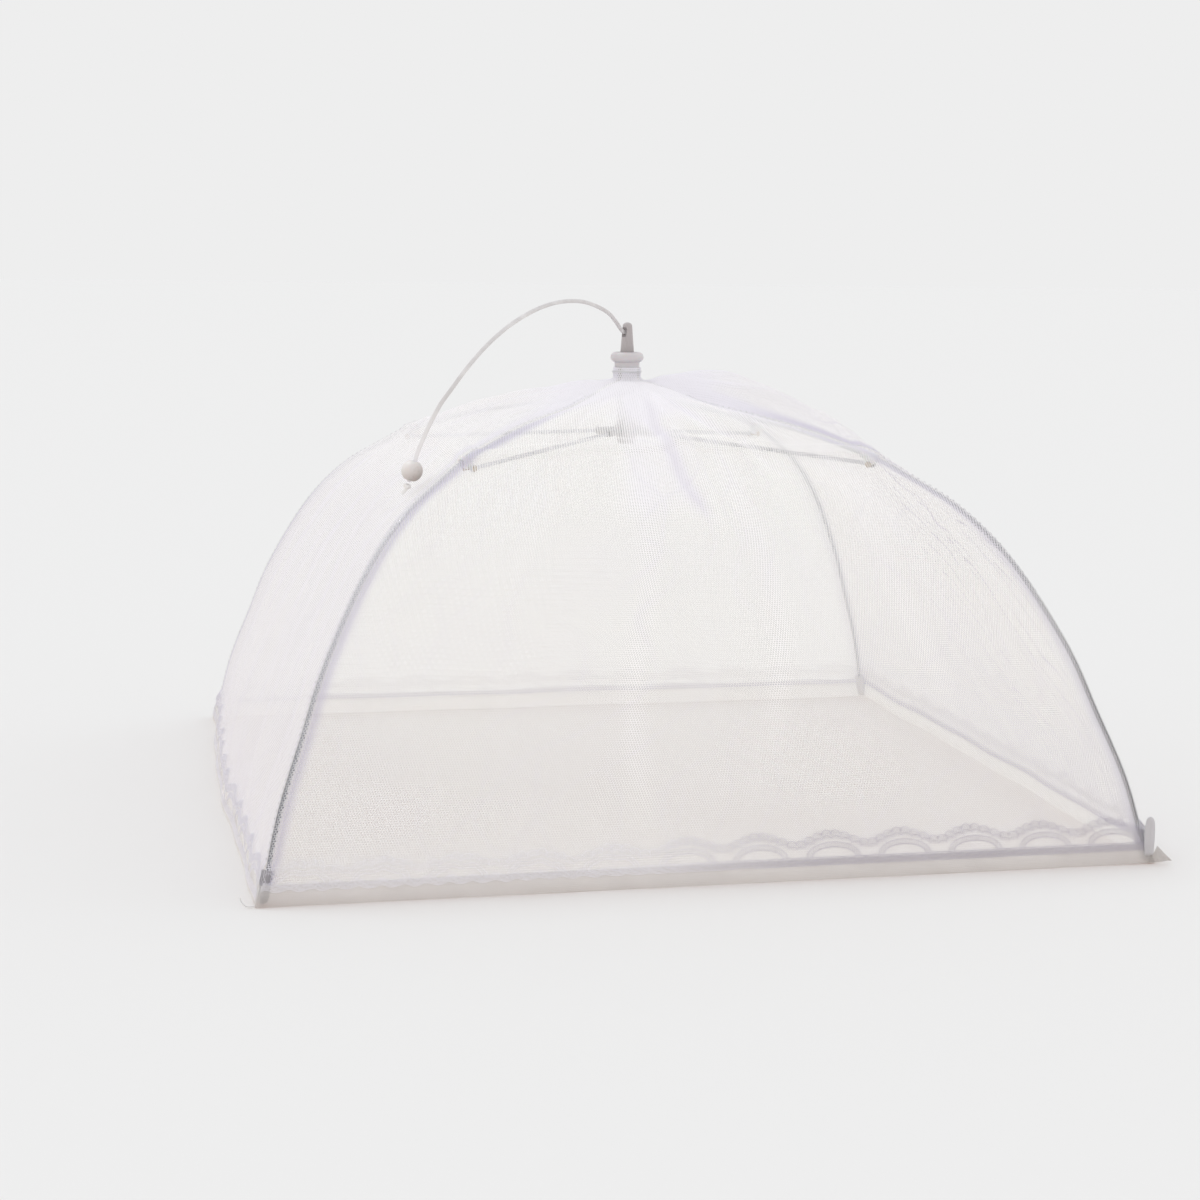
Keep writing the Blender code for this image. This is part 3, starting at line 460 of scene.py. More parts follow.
def weave_material(name, colour, pale, pitch, through, hole=None):
    """A close cloth; where the mesh's pale attribute is 1, more daylight comes through and it is paler."""
    material, tree, shader, behind, mix = cloth_material(name, colour, through)
    cells = place_group(tree, holes, Place=uv_of(tree), Pitch=pitch, Hole=hole or WEAVE_HOLE)
    if hole:
        open_holes(tree, mix, cells["Thread"])
    shade = colour_mix(tree, attribute_value(tree, "pale"), colour, pale)
    patch = place_group(tree, grain, Scale=40.0, Detail=4.0)
    # Painted shade darkens the gaps between threads, grain patches add real soil, and both are lifted where
    # the pale attribute paints daylight.
    hidden = math_node(tree, "SUBTRACT", 1.0, cells["Thread"])
    soil_and_shade = math_node(tree, "ADD", range_node(tree, patch["Value"], 0.3, 0.7, 0, SOIL_PATCHES),
                     math_node(tree, "MULTIPLY", hidden, 0.0 if hole else SHADE_BETWEEN_THREADS))
    darker = tree.nodes.new("ShaderNodeMix")
    darker.data_type = "RGBA"
    darker.blend_type = "MULTIPLY"
    painted_light_mix = math_node(tree, "MULTIPLY_ADD", attribute_value(tree, "pale"), -PALE_LIFTS_DARKENING, 1.0)
    tree.links.new(math_node(tree, "MULTIPLY", math_node(tree, "MINIMUM", soil_and_shade, 1.0), painted_light_mix),
                   darker.inputs["Factor"])
    tree.links.new(shade, darker.inputs[6])
    darker.inputs[7].default_value = (*SOIL_AND_SHADE, 1)
    tree.links.new(darker.outputs[2], shader.inputs["Base Color"])
    tree.links.new(darker.outputs[2], behind.inputs["Color"])
    bump_into(tree, shader, cells["Height"], 0.5, 0.0002)
    return material


hem_finish = weave_material("doubled_hem", (0.655, 0.625, 0.61), (1.0, 0.995, 0.99), 0.0009, 0.5, hole=0.30)
lace_finish = weave_material("lace_thread", (0.72, 0.695, 0.775), (0.95, 0.945, 0.985), 0.0005, 0.40)
thread_finish = weave_material("sewing_thread", (0.93, 0.93, 0.95), (0.93, 0.93, 0.95), 0.0004, 0.2)
pocket_finish = weave_material("corner_tulle", (0.46, 0.445, 0.49), (0.93, 0.925, 0.96), 0.0010, 0.3)
print("cloth:", hem_finish.name, lace_finish.name, thread_finish.name, pocket_finish.name)

# %% [markdown]
# ## Plastic and metal finishes
#
# The hub is a cheap glossy moulding, the pin a greyer one. The wires are zinc-plated steel, drawn, so
# their grain runs as fine noise that roughens the highlight. The rivets have dulled brass.

# %% Hard materials
WIRE_SHADE_FRONT, WIRE_SHADE_RIGHT, WIRE_SHADE_LEFT_SHARE = (-0.06, 0.02), (-0.10, 0.08), 0.65
WIRE_SHADE_TOP, WIRE_SHADE_FADE_SHARE = 0.21, 0.3


def moulded(name, colour, roughness, subsurface=0.0):
    material, tree, shader = plastic_base(name, colour, roughness)
    shader.inputs["Subsurface Weight"].default_value = subsurface
    shader.inputs["Subsurface Scale"].default_value = 0.002
    marks = place_group(tree, grain, Scale=260.0, Detail=5.0)
    tree.links.new(range_node(tree, marks["Value"], 0.3, 0.7, roughness - 0.08, roughness + 0.1),
                   shader.inputs["Roughness"])
    dirt = place_group(tree, grain, Scale=60.0, Detail=5.0)
    dull = tuple(c * 0.93 for c in colour)
    tree.links.new(colour_mix(tree, range_node(tree, dirt["Value"], 0.4, 0.75, 0, 1), colour, dull),
                   shader.inputs["Base Color"])
    bump_into(tree, shader, marks["Value"], 0.15, 0.0002)
    return material


def drawn_metal(name, colour, dark, roughness, foot_shade=None):
    """Drawn wire; a painted shade colour deepens towards the front feet, for the dark reflections the low
    wire shows there.
    """
    material, tree, shader = plastic_base(name, colour, roughness, 1.0)
    spots = place_group(tree, grain, Scale=700.0, Detail=4.0)
    shade = colour_mix(tree, range_node(tree, spots["Value"], 0.4, 0.7, 0, 1), colour, dark)
    if foot_shade:
        axes = tree.nodes.new("ShaderNodeSeparateXYZ")
        tree.links.new(object_coordinates(tree), axes.inputs[0])
        front = range_node(tree, axes.outputs[1], *WIRE_SHADE_FRONT, 1, 0)
        right = range_node(tree, axes.outputs[0], *WIRE_SHADE_RIGHT, WIRE_SHADE_LEFT_SHARE, 1)
        reaches = math_node(tree, "MULTIPLY", right, WIRE_SHADE_TOP)
        above = math_node(tree, "DIVIDE", axes.outputs[2], reaches)
        low = range_node(tree, above, WIRE_SHADE_FADE_SHARE, 1, 1, 0)
        shade = colour_mix(tree, math_node(tree, "MULTIPLY", low, math_node(tree, "MULTIPLY", front, right)),
                           shade, foot_shade)
    tree.links.new(shade, shader.inputs["Base Color"])
    tree.links.new(range_node(tree, spots["Value"], 0.3, 0.7, roughness - 0.08, roughness + 0.15),
                   shader.inputs["Roughness"])
    bump_into(tree, shader, spots["Value"], 0.2, 0.0001)
    return material


# Painted shade: the white hub and runner plastic is given a grey colour.
hub_finish = moulded("white_hub_plastic", (0.60, 0.575, 0.59), 0.36, 0.1)
pin_finish = moulded("grey_pin_plastic", (0.44, 0.41, 0.415), 0.42)
sleeve_finish = moulded("grey_sleeve_plastic", (0.50, 0.50, 0.52), 0.45)
clip_finish = moulded("milky_clip_plastic", (0.80, 0.81, 0.83), 0.3, 0.3)
bead_finish = moulded("ivory_bead_plastic", (0.80, 0.77, 0.765), 0.30, 0.05)
# Painted shade and dark reflection darken the low front ends of the steel wires.
steel_finish = drawn_metal("plated_steel_wire", (0.78, 0.79, 0.82), (0.52, 0.53, 0.57), 0.26,
                           foot_shade=(0.08, 0.08, 0.095))
brass_finish = drawn_metal("dull_brass", (0.50, 0.40, 0.28), (0.30, 0.24, 0.17), 0.42)
print("hard finishes:", len(bpy.data.materials))

# %% [markdown]
# ## The pull cord
#
# A flat, springy strip 2 mm wide leaves the eye at the top of the pin, arches up and over to the left and
# hangs down outside the net, where it holds a bead above its knot. Its route is a list of given points,
# the same as in the model, and a smooth curve runs through them. The strip is lofted along that
# curve, because a curve object's bevel is round.

# %% Cord route
CORD_WIDTH = 0.0020
CORD_THICKNESS = 0.0007
BEAD_R = 0.0050
GAP = 0.0003
CORD_ROUTE = (
    (0.0000, 0.0000, 0.2357), (-0.0032, -0.0020, 0.2364), (-0.0078, -0.0070, 0.2413),
    (-0.0139, -0.0140, 0.2462), (-0.0251, -0.0265, 0.2504), (-0.0348, -0.0364, 0.2519),
    (-0.0470, -0.0485, 0.2512), (-0.0601, -0.0614, 0.2477), (-0.0729, -0.0739, 0.2418),
    (-0.0828, -0.0831, 0.2354), (-0.0911, -0.0902, 0.2286), (-0.0992, -0.0963, 0.2204),
    (-0.1058, -0.1002, 0.2125), (-0.1112, -0.1025, 0.2057), (-0.1155, -0.1039, 0.1984),
    (-0.1192, -0.1046, 0.1910), (-0.1223, -0.1049, 0.1836), (-0.1250, -0.1050, 0.1750),
)


def smooth_line(points, steps):
    """A Catmull-Rom curve through given points, steps to a span."""
    chosen = [np.array(p, float) for p in points]
    chosen = [2 * chosen[0] - chosen[1], *chosen, 2 * chosen[-1] - chosen[-2]]
    found = []
    for a, b, c, d in zip(chosen, chosen[1:], chosen[2:], chosen[3:]):
        for i in range(steps):
            t = i / steps
            found.append((2 * b + (c - a) * t + (2 * a - 5 * b + 4 * c - d) * t**2
                          + (3 * b - a - 3 * c + d) * t**3) / 2)
    return np.array([*found, chosen[-2]])


def lengths_along(line):
    return np.concatenate([[0], np.cumsum(np.linalg.norm(np.diff(line, axis=0), axis=1))])


cord_line = smooth_line(CORD_ROUTE, 8)
bead_way = Vector(cord_line[-1] - cord_line[-2]).normalized()
cord_line = np.array([*cord_line, cord_line[-1] + np.array(bead_way) * (BEAD_R + GAP)])


# %% Cord strip
def flat_strip(line, width, thickness, facing, sides=10):
    """Rings of a flat strip along a line, its broad side turned to facing."""
    points, faces = [], []
    for i, place in enumerate(line):
        way = Vector(line[min(i + 1, len(line) - 1)] - line[max(i - 1, 0)]).normalized()
        across = way.cross(facing).normalized()
        flat = across.cross(way)
        for k in range(sides):
            a = math.tau * k / sides
            wide = math.copysign(abs(math.cos(a)) ** 0.6, math.cos(a)) * width / 2
            points.append(Vector(place) + across * wide + flat * math.sin(a) * thickness / 2)
    for i in range(len(line) - 1):
        for k in range(sides):
            n = (k + 1) % sides
            faces.append((i * sides + k, i * sides + n, (i + 1) * sides + n, (i + 1) * sides + k))
    faces += [tuple(range(sides)), tuple(range(len(points) - sides, len(points)))]
    return points, faces


STRIP_GREY, STRIP_PALE, STRIP_LIT = (0.59, 0.575, 0.585), (0.70, 0.69, 0.70), (0.84, 0.83, 0.86)
STRIP_LIT_HEIGHTS = (0.178, 0.208)
strip = mesh_object("pull_strip", *flat_strip(cord_line, CORD_WIDTH, CORD_THICKNESS, Vector(-ahead)))
outward(strip)
strip.data.shade_smooth()
cord_finish, cord_tree, cord_shader = plastic_base("pull_strip_plastic", STRIP_GREY, 0.42)
drawn_marks = place_group(cord_tree, grain, Scale=110.0, Detail=3.0)
patchy = range_node(cord_tree, drawn_marks["Value"], 0.35, 0.65, 0, 1)
worn = colour_mix(cord_tree, patchy, STRIP_GREY, STRIP_PALE)
strip_axes = cord_tree.nodes.new("ShaderNodeSeparateXYZ")
cord_tree.links.new(object_coordinates(cord_tree), strip_axes.inputs[0])
# Painted light: the strip is paler below these heights, where it hangs in front of the bright net.
lit_by_net = range_node(cord_tree, strip_axes.outputs[2], *STRIP_LIT_HEIGHTS, 1, 0)
cord_tree.links.new(colour_mix(cord_tree, lit_by_net, worn, STRIP_LIT), cord_shader.inputs["Base Color"])
bump_into(cord_tree, cord_shader, drawn_marks["Value"], 0.2, 0.0001)
finished(strip, "pull_strip", cord_finish, "runner", ["pull_cord"])

# %% [markdown]
# ## Bead and knot
#
# The bead is a ball with two flats where its bore comes out. It is a UV sphere, cut flat at both ends with
# bisect, turned to the cord's direction. The knot below it is the cord tied once: a three-lobed loop of a
# round tube drawn tight, with a short cut tail.

# %% Bead
bead_centre = Vector(CORD_ROUTE[-1])
BORE_R = 0.0014
LIT_SIDE = tuple(Vector((-0.62, -0.25, 0.74)).normalized())
BEAD_SHADED = (0.40, 0.355, 0.335)
FLAT_R = 1.6 * BORE_R
bpy.ops.mesh.primitive_uv_sphere_add(segments=48, ring_count=24, radius=BEAD_R)
bead = bpy.context.object
bpy.ops.object.mode_set(mode="EDIT")
flat_height = math.sqrt(BEAD_R**2 - FLAT_R**2)
for side in (1, -1):
    bpy.ops.mesh.select_all(action="SELECT")
    bpy.ops.mesh.bisect(plane_co=(0, 0, side * flat_height), plane_no=(0, 0, side), clear_outer=True)
    bpy.ops.mesh.edge_face_add()
    bpy.ops.mesh.inset(thickness=FLAT_R - BORE_R)
    bpy.ops.transform.translate(value=(0, 0, -side * BORE_R))
bpy.ops.object.mode_set(mode="OBJECT")
turn_to_cord = Vector((0, 0, 1)).rotation_difference(bead_way)
bead.matrix_world = Matrix.Translation(bead_centre) @ turn_to_cord.to_matrix().to_4x4()
only(bead)
bpy.ops.object.shade_smooth_by_angle(angle=math.radians(40))
# Painted shade: the bead darkens towards a shaded brown-grey away from its lit upper left side.
bead_tree = bead_finish.node_tree
bead_side = bead_tree.nodes.new("ShaderNodeVectorMath")
bead_side.operation = "DOT_PRODUCT"
from_centre = vector_node(bead_tree, "SUBTRACT", object_coordinates(bead_tree), tuple(bead_centre))
bead_tree.links.new(from_centre, bead_side.inputs[0])
bead_side.inputs[1].default_value = LIT_SIDE
bead_base = bead_tree.nodes["Principled BSDF"].inputs["Base Color"]
painted_light_mix = range_node(bead_tree, bead_side.outputs["Value"], -BEAD_R * 0.7, BEAD_R, 0, 1)
bead_shade = colour_mix(bead_tree, painted_light_mix, BEAD_SHADED, bead_base.links[0].from_socket)
bead_tree.links.new(bead_shade, bead_base)
finished(bead, "bead_ball", bead_finish, "bead", ["pull_bead"])

# %% Knot line and round tubes
KNOT_R = 0.0018
TAIL_LENGTH = 0.0030
knot_centre = bead_centre + bead_way * (BEAD_R + 2 * GAP + KNOT_R)


def knot_line():
    """A three-lobed knot, KNOT_R across each way, in line with the cord."""
    found = []
    for i in range(48):
        t = math.tau * i / 48
        found.append(Vector((math.sin(t) + 2 * math.sin(2 * t), math.cos(t) - 2 * math.cos(2 * t),
                             -math.sin(3 * t))) * KNOT_R * 0.24)
    return found


def tube_curve(name, line, radius, cyclic=False, resolution=4):
    """A round tube along a line, made a mesh."""
    curve = bpy.data.curves.new(name, "CURVE")
    curve.dimensions = "3D"
    curve.bevel_depth = radius
    curve.bevel_resolution = resolution
    curve.use_fill_caps = not cyclic
    spline = curve.splines.new("POLY")
    spline.points.add(len(line) - 1)
    for point, place in zip(spline.points, line):
        point.co = (*place, 1)
    spline.use_cyclic_u = cyclic
    piece = bpy.data.objects.new(name, curve)
    bpy.context.collection.objects.link(piece)
    only(piece)
    bpy.ops.object.convert(target="MESH")
    bpy.context.object.data.shade_smooth()
    return bpy.context.object


print("the knot's middle:", [round(x, 4) for x in knot_centre])


# %% Knot and tail
knot = tube_curve("knot", [knot_centre + turn_to_cord @ p for p in knot_line()], KNOT_R * 0.42, cyclic=True)
tail_start = knot_centre + bead_way * KNOT_R * 0.3
tail_lean = Vector((-0.5, 0.1, 0))
tail_line = [tail_start + (bead_way + tail_lean * (s / 4)) * TAIL_LENGTH * s / 4 for s in range(5)]
tail = mesh_object("tail", *flat_strip(np.array(tail_line), CORD_WIDTH * 0.8, CORD_THICKNESS, Vector(-ahead)))
outward(tail)
only(knot)
tail.select_set(True)
bpy.ops.object.join()
knot_finish = moulded("pale_knot_plastic", (0.84, 0.83, 0.83), 0.5)
finished(knot, "cord_end_knot", knot_finish, "bead", ["cord_knot"])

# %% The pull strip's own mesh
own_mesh(strip)
print("the cord's end:", [round(float(x), 4) for x in cord_line[-1]])

# %% [markdown]
# ## Floor and light
#
# The floor is one pale sheet that runs past the horizon. Seen by the camera it glows a little, so that it
# meets the pale backdrop without an edge, and the rest of its brightness is real light that the cover can
# shade. Two broad suns stand behind the cover, left and right, so the top of the net is brightest and the
# side that faces us is softer, as in a catalogue studio.

# %% Daylight
PAPER = 0.855
SKY_LOW, SKY_RISE = 1.46, -0.385
FLOOR_LIGHT = 1.106
SUNS = (("key_sun", (-0.30, 0.40, 0.86), 0.45, 20), ("rim_sun", (0.80, 0.25, 0.55), 0.15, 50))
for name, towards, strength, width in SUNS:
    aim = Vector(towards).normalized()
    bpy.ops.object.light_add(type="SUN", rotation=aim.to_track_quat("Z", "Y").to_euler())
    sun = bpy.context.object
    sun.name = name
    sun.data.energy = strength
    sun.data.angle = math.radians(width)

world = bpy.data.worlds.new("studio")
scene.world = world
world.use_nodes = True
sky = world.node_tree
height = sky.nodes.new("ShaderNodeSeparateXYZ")
sky.links.new(sky.nodes.new("ShaderNodeTexCoord").outputs["Generated"], height.inputs[0])
sky_level = math_node(sky, "ADD", SKY_LOW, math_node(
    sky, "MULTIPLY", math_node(sky, "MAXIMUM", height.outputs[2], 0.0), SKY_RISE))


def seen_directly(tree):
    """1 for the rays that carry the picture: straight, mirrored or through glass."""
    path = tree.nodes.new("ShaderNodeLightPath").outputs
    either = math_node(tree, "MAXIMUM", path["Is Camera Ray"], path["Is Transmission Ray"])
    return math_node(tree, "MAXIMUM", either, path["Is Glossy Ray"])


backdrop = sky.nodes["Background"]
sky_light = sky.nodes.new("ShaderNodeBackground")
sky.links.new(sky_level, sky_light.inputs["Strength"])
backdrop.inputs["Color"].default_value = (PAPER, PAPER, PAPER, 1)
which = sky.nodes.new("ShaderNodeMixShader")
sky.links.new(seen_directly(sky), which.inputs[0])
sky.links.new(sky_light.outputs[0], which.inputs[1])
sky.links.new(backdrop.outputs[0], which.inputs[2])
sky.links.new(which.outputs[0], sky.nodes["World Output"].inputs["Surface"])
print("suns:", [name for name, *_ in SUNS])

# %% Floor
FLOOR_SIZE = 60
FLOOR_DROP = 0.0002
FLOOR_SHADED = (0.64, 0.74, 0.77)
bpy.ops.mesh.primitive_plane_add(size=FLOOR_SIZE, location=(0, 0, -FLOOR_DROP))
floor = bpy.context.object
floor.name = "studio_floor"
floor_paper, floor_tree, floor_shader = plastic_base("floor_paper", (0.82, 0.75, 0.67), 1.0)
floor_shader.inputs["Specular IOR Level"].default_value = 0.0
glow = floor_tree.nodes.new("ShaderNodeEmission")
glow.inputs["Color"].default_value = (*[PAPER - c * FLOOR_LIGHT for c in FLOOR_SHADED], 1)
matt = floor_tree.nodes.new("ShaderNodeBsdfDiffuse")
matt.inputs["Color"].default_value = (*FLOOR_SHADED, 1)
both = floor_tree.nodes.new("ShaderNodeAddShader")
floor_tree.links.new(glow.outputs[0], both.inputs[0])
floor_tree.links.new(matt.outputs[0], both.inputs[1])
choice = floor_tree.nodes.new("ShaderNodeMixShader")
floor_tree.links.new(seen_directly(floor_tree), choice.inputs[0])
floor_tree.links.new(floor_shader.outputs[0], choice.inputs[1])
floor_tree.links.new(both.outputs[0], choice.inputs[2])
floor_tree.links.new(choice.outputs[0], floor_tree.nodes["Material Output"].inputs["Surface"])
floor.data.materials.append(floor_paper)
scene.view_settings.view_transform = "Standard"
print("floor:", FLOOR_SIZE, "m")

# %% [markdown]
# ## The arch of a rib
#
# Every rib follows the same arch: nearly level at the hub, then falling ever more steeply to its corner.
# The arch is a short list of shares of the rib's reach and height, with a smooth curve through them. The
# net, the seams and the sleeves at the corners are all placed by a length along this arch.

# %% The arch
joints = {joint["name"]: joint for joint in frame["joints"]}
rib_pin = Vector(joints["rib_hinge_front_right"]["pos_m"])
runner_pin = Vector(joints["stretcher_hinge_front_right"]["pos_m"])
PIVOT_REACH, PIVOT_HEIGHT = rib_pin.xy.length, rib_pin.z
COVER_SIDE = 0.4100
CORNER_REACH = COVER_SIDE / math.sqrt(2)
RIB_TIP_REACH = 0.2848
TIP_RISE = 0.0030
WIRE_R, CLIP_R = 0.0010, 0.0021
ARCH_REACH_SHARES = (0.0, 0.119, 0.308, 0.473, 0.551, 0.654, 0.750, 0.847, 0.904, 0.961, 1.0)
ARCH_HEIGHT_SHARES = (1.0, 0.973, 0.933, 0.875, 0.830, 0.756, 0.642, 0.467, 0.321, 0.165, 0.0)
ARCH_WIDTH, ARCH_RISE = RIB_TIP_REACH - PIVOT_REACH, PIVOT_HEIGHT - TIP_RISE
ARCH = smooth_line([(PIVOT_REACH + r * ARCH_WIDTH, TIP_RISE + h * ARCH_RISE)
                    for r, h in zip(ARCH_REACH_SHARES, ARCH_HEIGHT_SHARES)], 24)
ARCH_ALONG = lengths_along(ARCH)
ARCH_LENGTH = float(ARCH_ALONG[-1])


def on_arch(along):
    return np.stack([np.interp(along, ARCH_ALONG, ARCH[:, k]) for k in (0, 1)], -1)


def arch_at(along):
    """Places (reach, height) and directions at lengths along the arch, straight past its ends."""
    inside = np.clip(along, 0, ARCH_LENGTH)
    step = ARCH_LENGTH / 60
    way = on_arch(np.minimum(inside + step, ARCH_LENGTH)) - on_arch(np.maximum(inside - step, 0))
    way /= np.linalg.norm(way, axis=-1)[..., None]
    return on_arch(inside) + (along - inside)[..., None] * way, way


JOINT_REACH = 0.1392
RIVET_DROP = 0.0040
JOINT_ALONG = float(np.interp(JOINT_REACH, ARCH[:, 0], ARCH_ALONG))
HEM_HEIGHT = 0.0080
NET_END = float(np.interp(-HEM_HEIGHT, -ARCH[:, 1], ARCH_ALONG))
print("rib length %.3f m, clip at %.3f m, net ends at %.3f m" % (ARCH_LENGTH, JOINT_ALONG, NET_END))

# %% [markdown]
# ## Turned plastic parts
#
# The hub, the runner and the pull pin are round mouldings. Each is modelled as on a lathe: a circle is
# added, and ring after ring is extruded, resized and moved along a profile of radii and heights. Slots are
# cut with a Boolean, and a small bevel gives every edge the soft line of a moulding.

# %% Helpers for turning
def arc_points(centre_r, centre_z, radius_r, radius_z, start, end, steps):
    turns = [math.radians(start + (end - start) * i / steps) for i in range(steps + 1)]
    return [(centre_r + radius_r * math.cos(a), centre_z + radius_z * math.sin(a)) for a in turns]


def turned_piece(profile, hollow=True, sides=64):
    """A round body from rings of (radius, height); a hollow one is bridged back to its first ring."""
    deselect()
    bpy.ops.mesh.primitive_circle_add(vertices=sides, radius=profile[0][0])
    piece = bpy.context.object
    bpy.ops.object.mode_set(mode="EDIT")
    bpy.ops.transform.translate(value=(0, 0, profile[0][1]))
    for (r, z), (next_r, next_z) in zip(profile, profile[1:]):
        bpy.ops.mesh.extrude_region_move(TRANSFORM_OT_translate={"value": (0, 0, next_z - z)})
        bpy.ops.transform.resize(value=(next_r / r, next_r / r, 1), center_override=(0, 0, next_z))
    bpy.ops.mesh.select_mode(type="EDGE")
    bpy.ops.mesh.select_all(action="DESELECT")
    bpy.ops.mesh.select_non_manifold()
    if hollow:
        bpy.ops.mesh.bridge_edge_loops()
    else:
        bpy.ops.mesh.fill_holes(sides=0)
    bpy.ops.mesh.select_mode(type="VERT")
    bpy.ops.object.mode_set(mode="OBJECT")
    outward(piece)
    return piece


# %% Helpers for cutting and joining
def cut_with(piece, cutter, operation="DIFFERENCE"):
    only(piece)
    cut = piece.modifiers.new("cut", "BOOLEAN")
    cut.operation = operation
    cut.object = cutter
    bpy.ops.object.modifier_apply(modifier=cut.name)
    bpy.data.objects.remove(cutter)
    return piece


def soften(piece, width, segments=2, angle=35):
    """Rounds the sharp edges a little and shades the rest smooth."""
    bevel = piece.modifiers.new("edges", "BEVEL")
    bevel.width = width
    bevel.segments = segments
    bevel.limit_method = "ANGLE"
    bevel.angle_limit = math.radians(angle)
    apply_modifiers(piece)
    bpy.ops.object.shade_smooth_by_angle(angle=math.radians(angle))
    return piece


def joined(first, *others):
    only(first)
    for other in others:
        other.select_set(True)
    bpy.ops.object.join()
    return first


def rib_slots(inner_r, outer_r, low, high, width):
    """Four upright slabs along the ribs' directions, as one cutter."""
    slabs = []
    for degrees in RIB_NAMES.values():
        deselect()
        middle = (inner_r + outer_r) / 2
        a = math.radians(degrees)
        place = (middle * math.cos(a), middle * math.sin(a), (low + high) / 2)
        bpy.ops.mesh.primitive_cube_add(size=1, location=place, rotation=(0, 0, a),
                                        scale=(outer_r - inner_r, width, high - low))
        slabs.append(bpy.context.object)
    return joined(*slabs)


# %% Hub moulding
RIB_NAMES = {"front_right": -45, "back_right": 45, "back_left": 135, "front_left": 225}
OVERRUN = 0.0010
TIE_WIRE_R = 0.0004
EYE_HOLE_R = TIE_WIRE_R + GAP
EYE_R = EYE_HOLE_R + 0.0008
SLOT_WIDTH = 2 * (WIRE_R + GAP)
EDGE = 0.00025
RING_R, RING_HALF, RING_DISH, DISH_R = 0.0085, 0.0026, 0.0009, 0.0060
TUBE_R, TUBE_WAIST = 0.00645, 0.0002
COLLAR_R, COLLAR_HALF, COLLAR_CAP, SPOUT_R = 0.0078, 0.0035, 0.0013, 0.0050
PIN_SHAFT_R, PIN_SHOULDER_R, PIN_TOP_R, PIN_DOME = 0.0029, 0.00355, 0.00245, 0.0018

ferrule_low, ferrule_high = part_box("ferrule")[0][2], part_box("ferrule")[1][2]
ring_height = ferrule_high - RING_HALF
groove_half = TIE_WIRE_R + GAP
hub_bore = PIN_SHOULDER_R + GAP
hub_groove = PIVOT_REACH - groove_half
hub_profile = [(hub_bore, ferrule_low), (SPOUT_R, ferrule_low), (SPOUT_R, PIVOT_HEIGHT - COLLAR_HALF),
               (COLLAR_R, PIVOT_HEIGHT - COLLAR_HALF), (COLLAR_R, PIVOT_HEIGHT - groove_half),
               (hub_groove, PIVOT_HEIGHT - groove_half), (hub_groove, PIVOT_HEIGHT + groove_half),
               (COLLAR_R, PIVOT_HEIGHT + groove_half), (COLLAR_R, PIVOT_HEIGHT + COLLAR_HALF),
               (TUBE_R, PIVOT_HEIGHT + COLLAR_HALF),
               (TUBE_R - TUBE_WAIST, (PIVOT_HEIGHT + COLLAR_HALF + ring_height - RING_HALF) / 2),
               (TUBE_R, ring_height - RING_HALF * 0.97)]
hub_profile += arc_points(RING_R - RING_HALF, ring_height, RING_HALF, RING_HALF, -76, 90, 16)
hub_profile += [(DISH_R - RING_DISH * 0.8, ferrule_high - RING_DISH), (hub_bore, ferrule_high - RING_DISH)]
hub = turned_piece(hub_profile)
cut_with(hub, rib_slots(PIVOT_REACH - EYE_R - GAP, COLLAR_R + OVERRUN, PIVOT_HEIGHT - COLLAR_HALF - OVERRUN,
                        PIVOT_HEIGHT + COLLAR_HALF - COLLAR_CAP, SLOT_WIDTH))
soften(hub, EDGE)
finished(hub, "hub_moulding", hub_finish, "ferrule", ["ferrule"])

# %% Runner moulding
RUNNER_R, RUNNER_HALF, RUNNER_BOSS, RUNNER_FOOT = 0.0059, 0.0027, 0.0005, 0.0024
RUNNER_REACH, RUNNER_HEIGHT = runner_pin.xy.length, runner_pin.z
runner_bore = PIN_SHAFT_R + GAP
runner_groove = RUNNER_REACH - groove_half
runner_low = RUNNER_HEIGHT - RUNNER_HALF
foot_low = RUNNER_HEIGHT - RUNNER_HALF - RUNNER_FOOT
runner_profile = [(runner_bore, foot_low), (SPOUT_R, foot_low), (SPOUT_R, runner_low), (RUNNER_R, runner_low),
                  (RUNNER_R, RUNNER_HEIGHT - groove_half), (runner_groove, RUNNER_HEIGHT - groove_half),
                  (runner_groove, RUNNER_HEIGHT + groove_half), (RUNNER_R, RUNNER_HEIGHT + groove_half),
                  (RUNNER_R, RUNNER_HEIGHT + RUNNER_HALF), (SPOUT_R, RUNNER_HEIGHT + RUNNER_HALF),
                  (SPOUT_R, RUNNER_HEIGHT + RUNNER_HALF + RUNNER_BOSS),
                  (runner_bore, RUNNER_HEIGHT + RUNNER_HALF + RUNNER_BOSS)]
runner = turned_piece(runner_profile)
cut_with(runner, rib_slots(RUNNER_REACH - EYE_R - GAP, RUNNER_R + OVERRUN, RUNNER_HEIGHT - RUNNER_HALF,
                           RUNNER_HEIGHT + RUNNER_HALF + OVERRUN, SLOT_WIDTH))
soften(runner, EDGE * 0.6)
finished(runner, "runner_moulding", hub_finish, "runner", ["runner"])

# %% [markdown]
# ## The pull pin
#
# The pin runs from a flat head under the runner up through the hub, and tapers to a domed top. A tall
# window with round corners goes through its top for the cord. The window's cutter is a cube whose long
# edges are bevelled first, so the hole gets the same round corners.

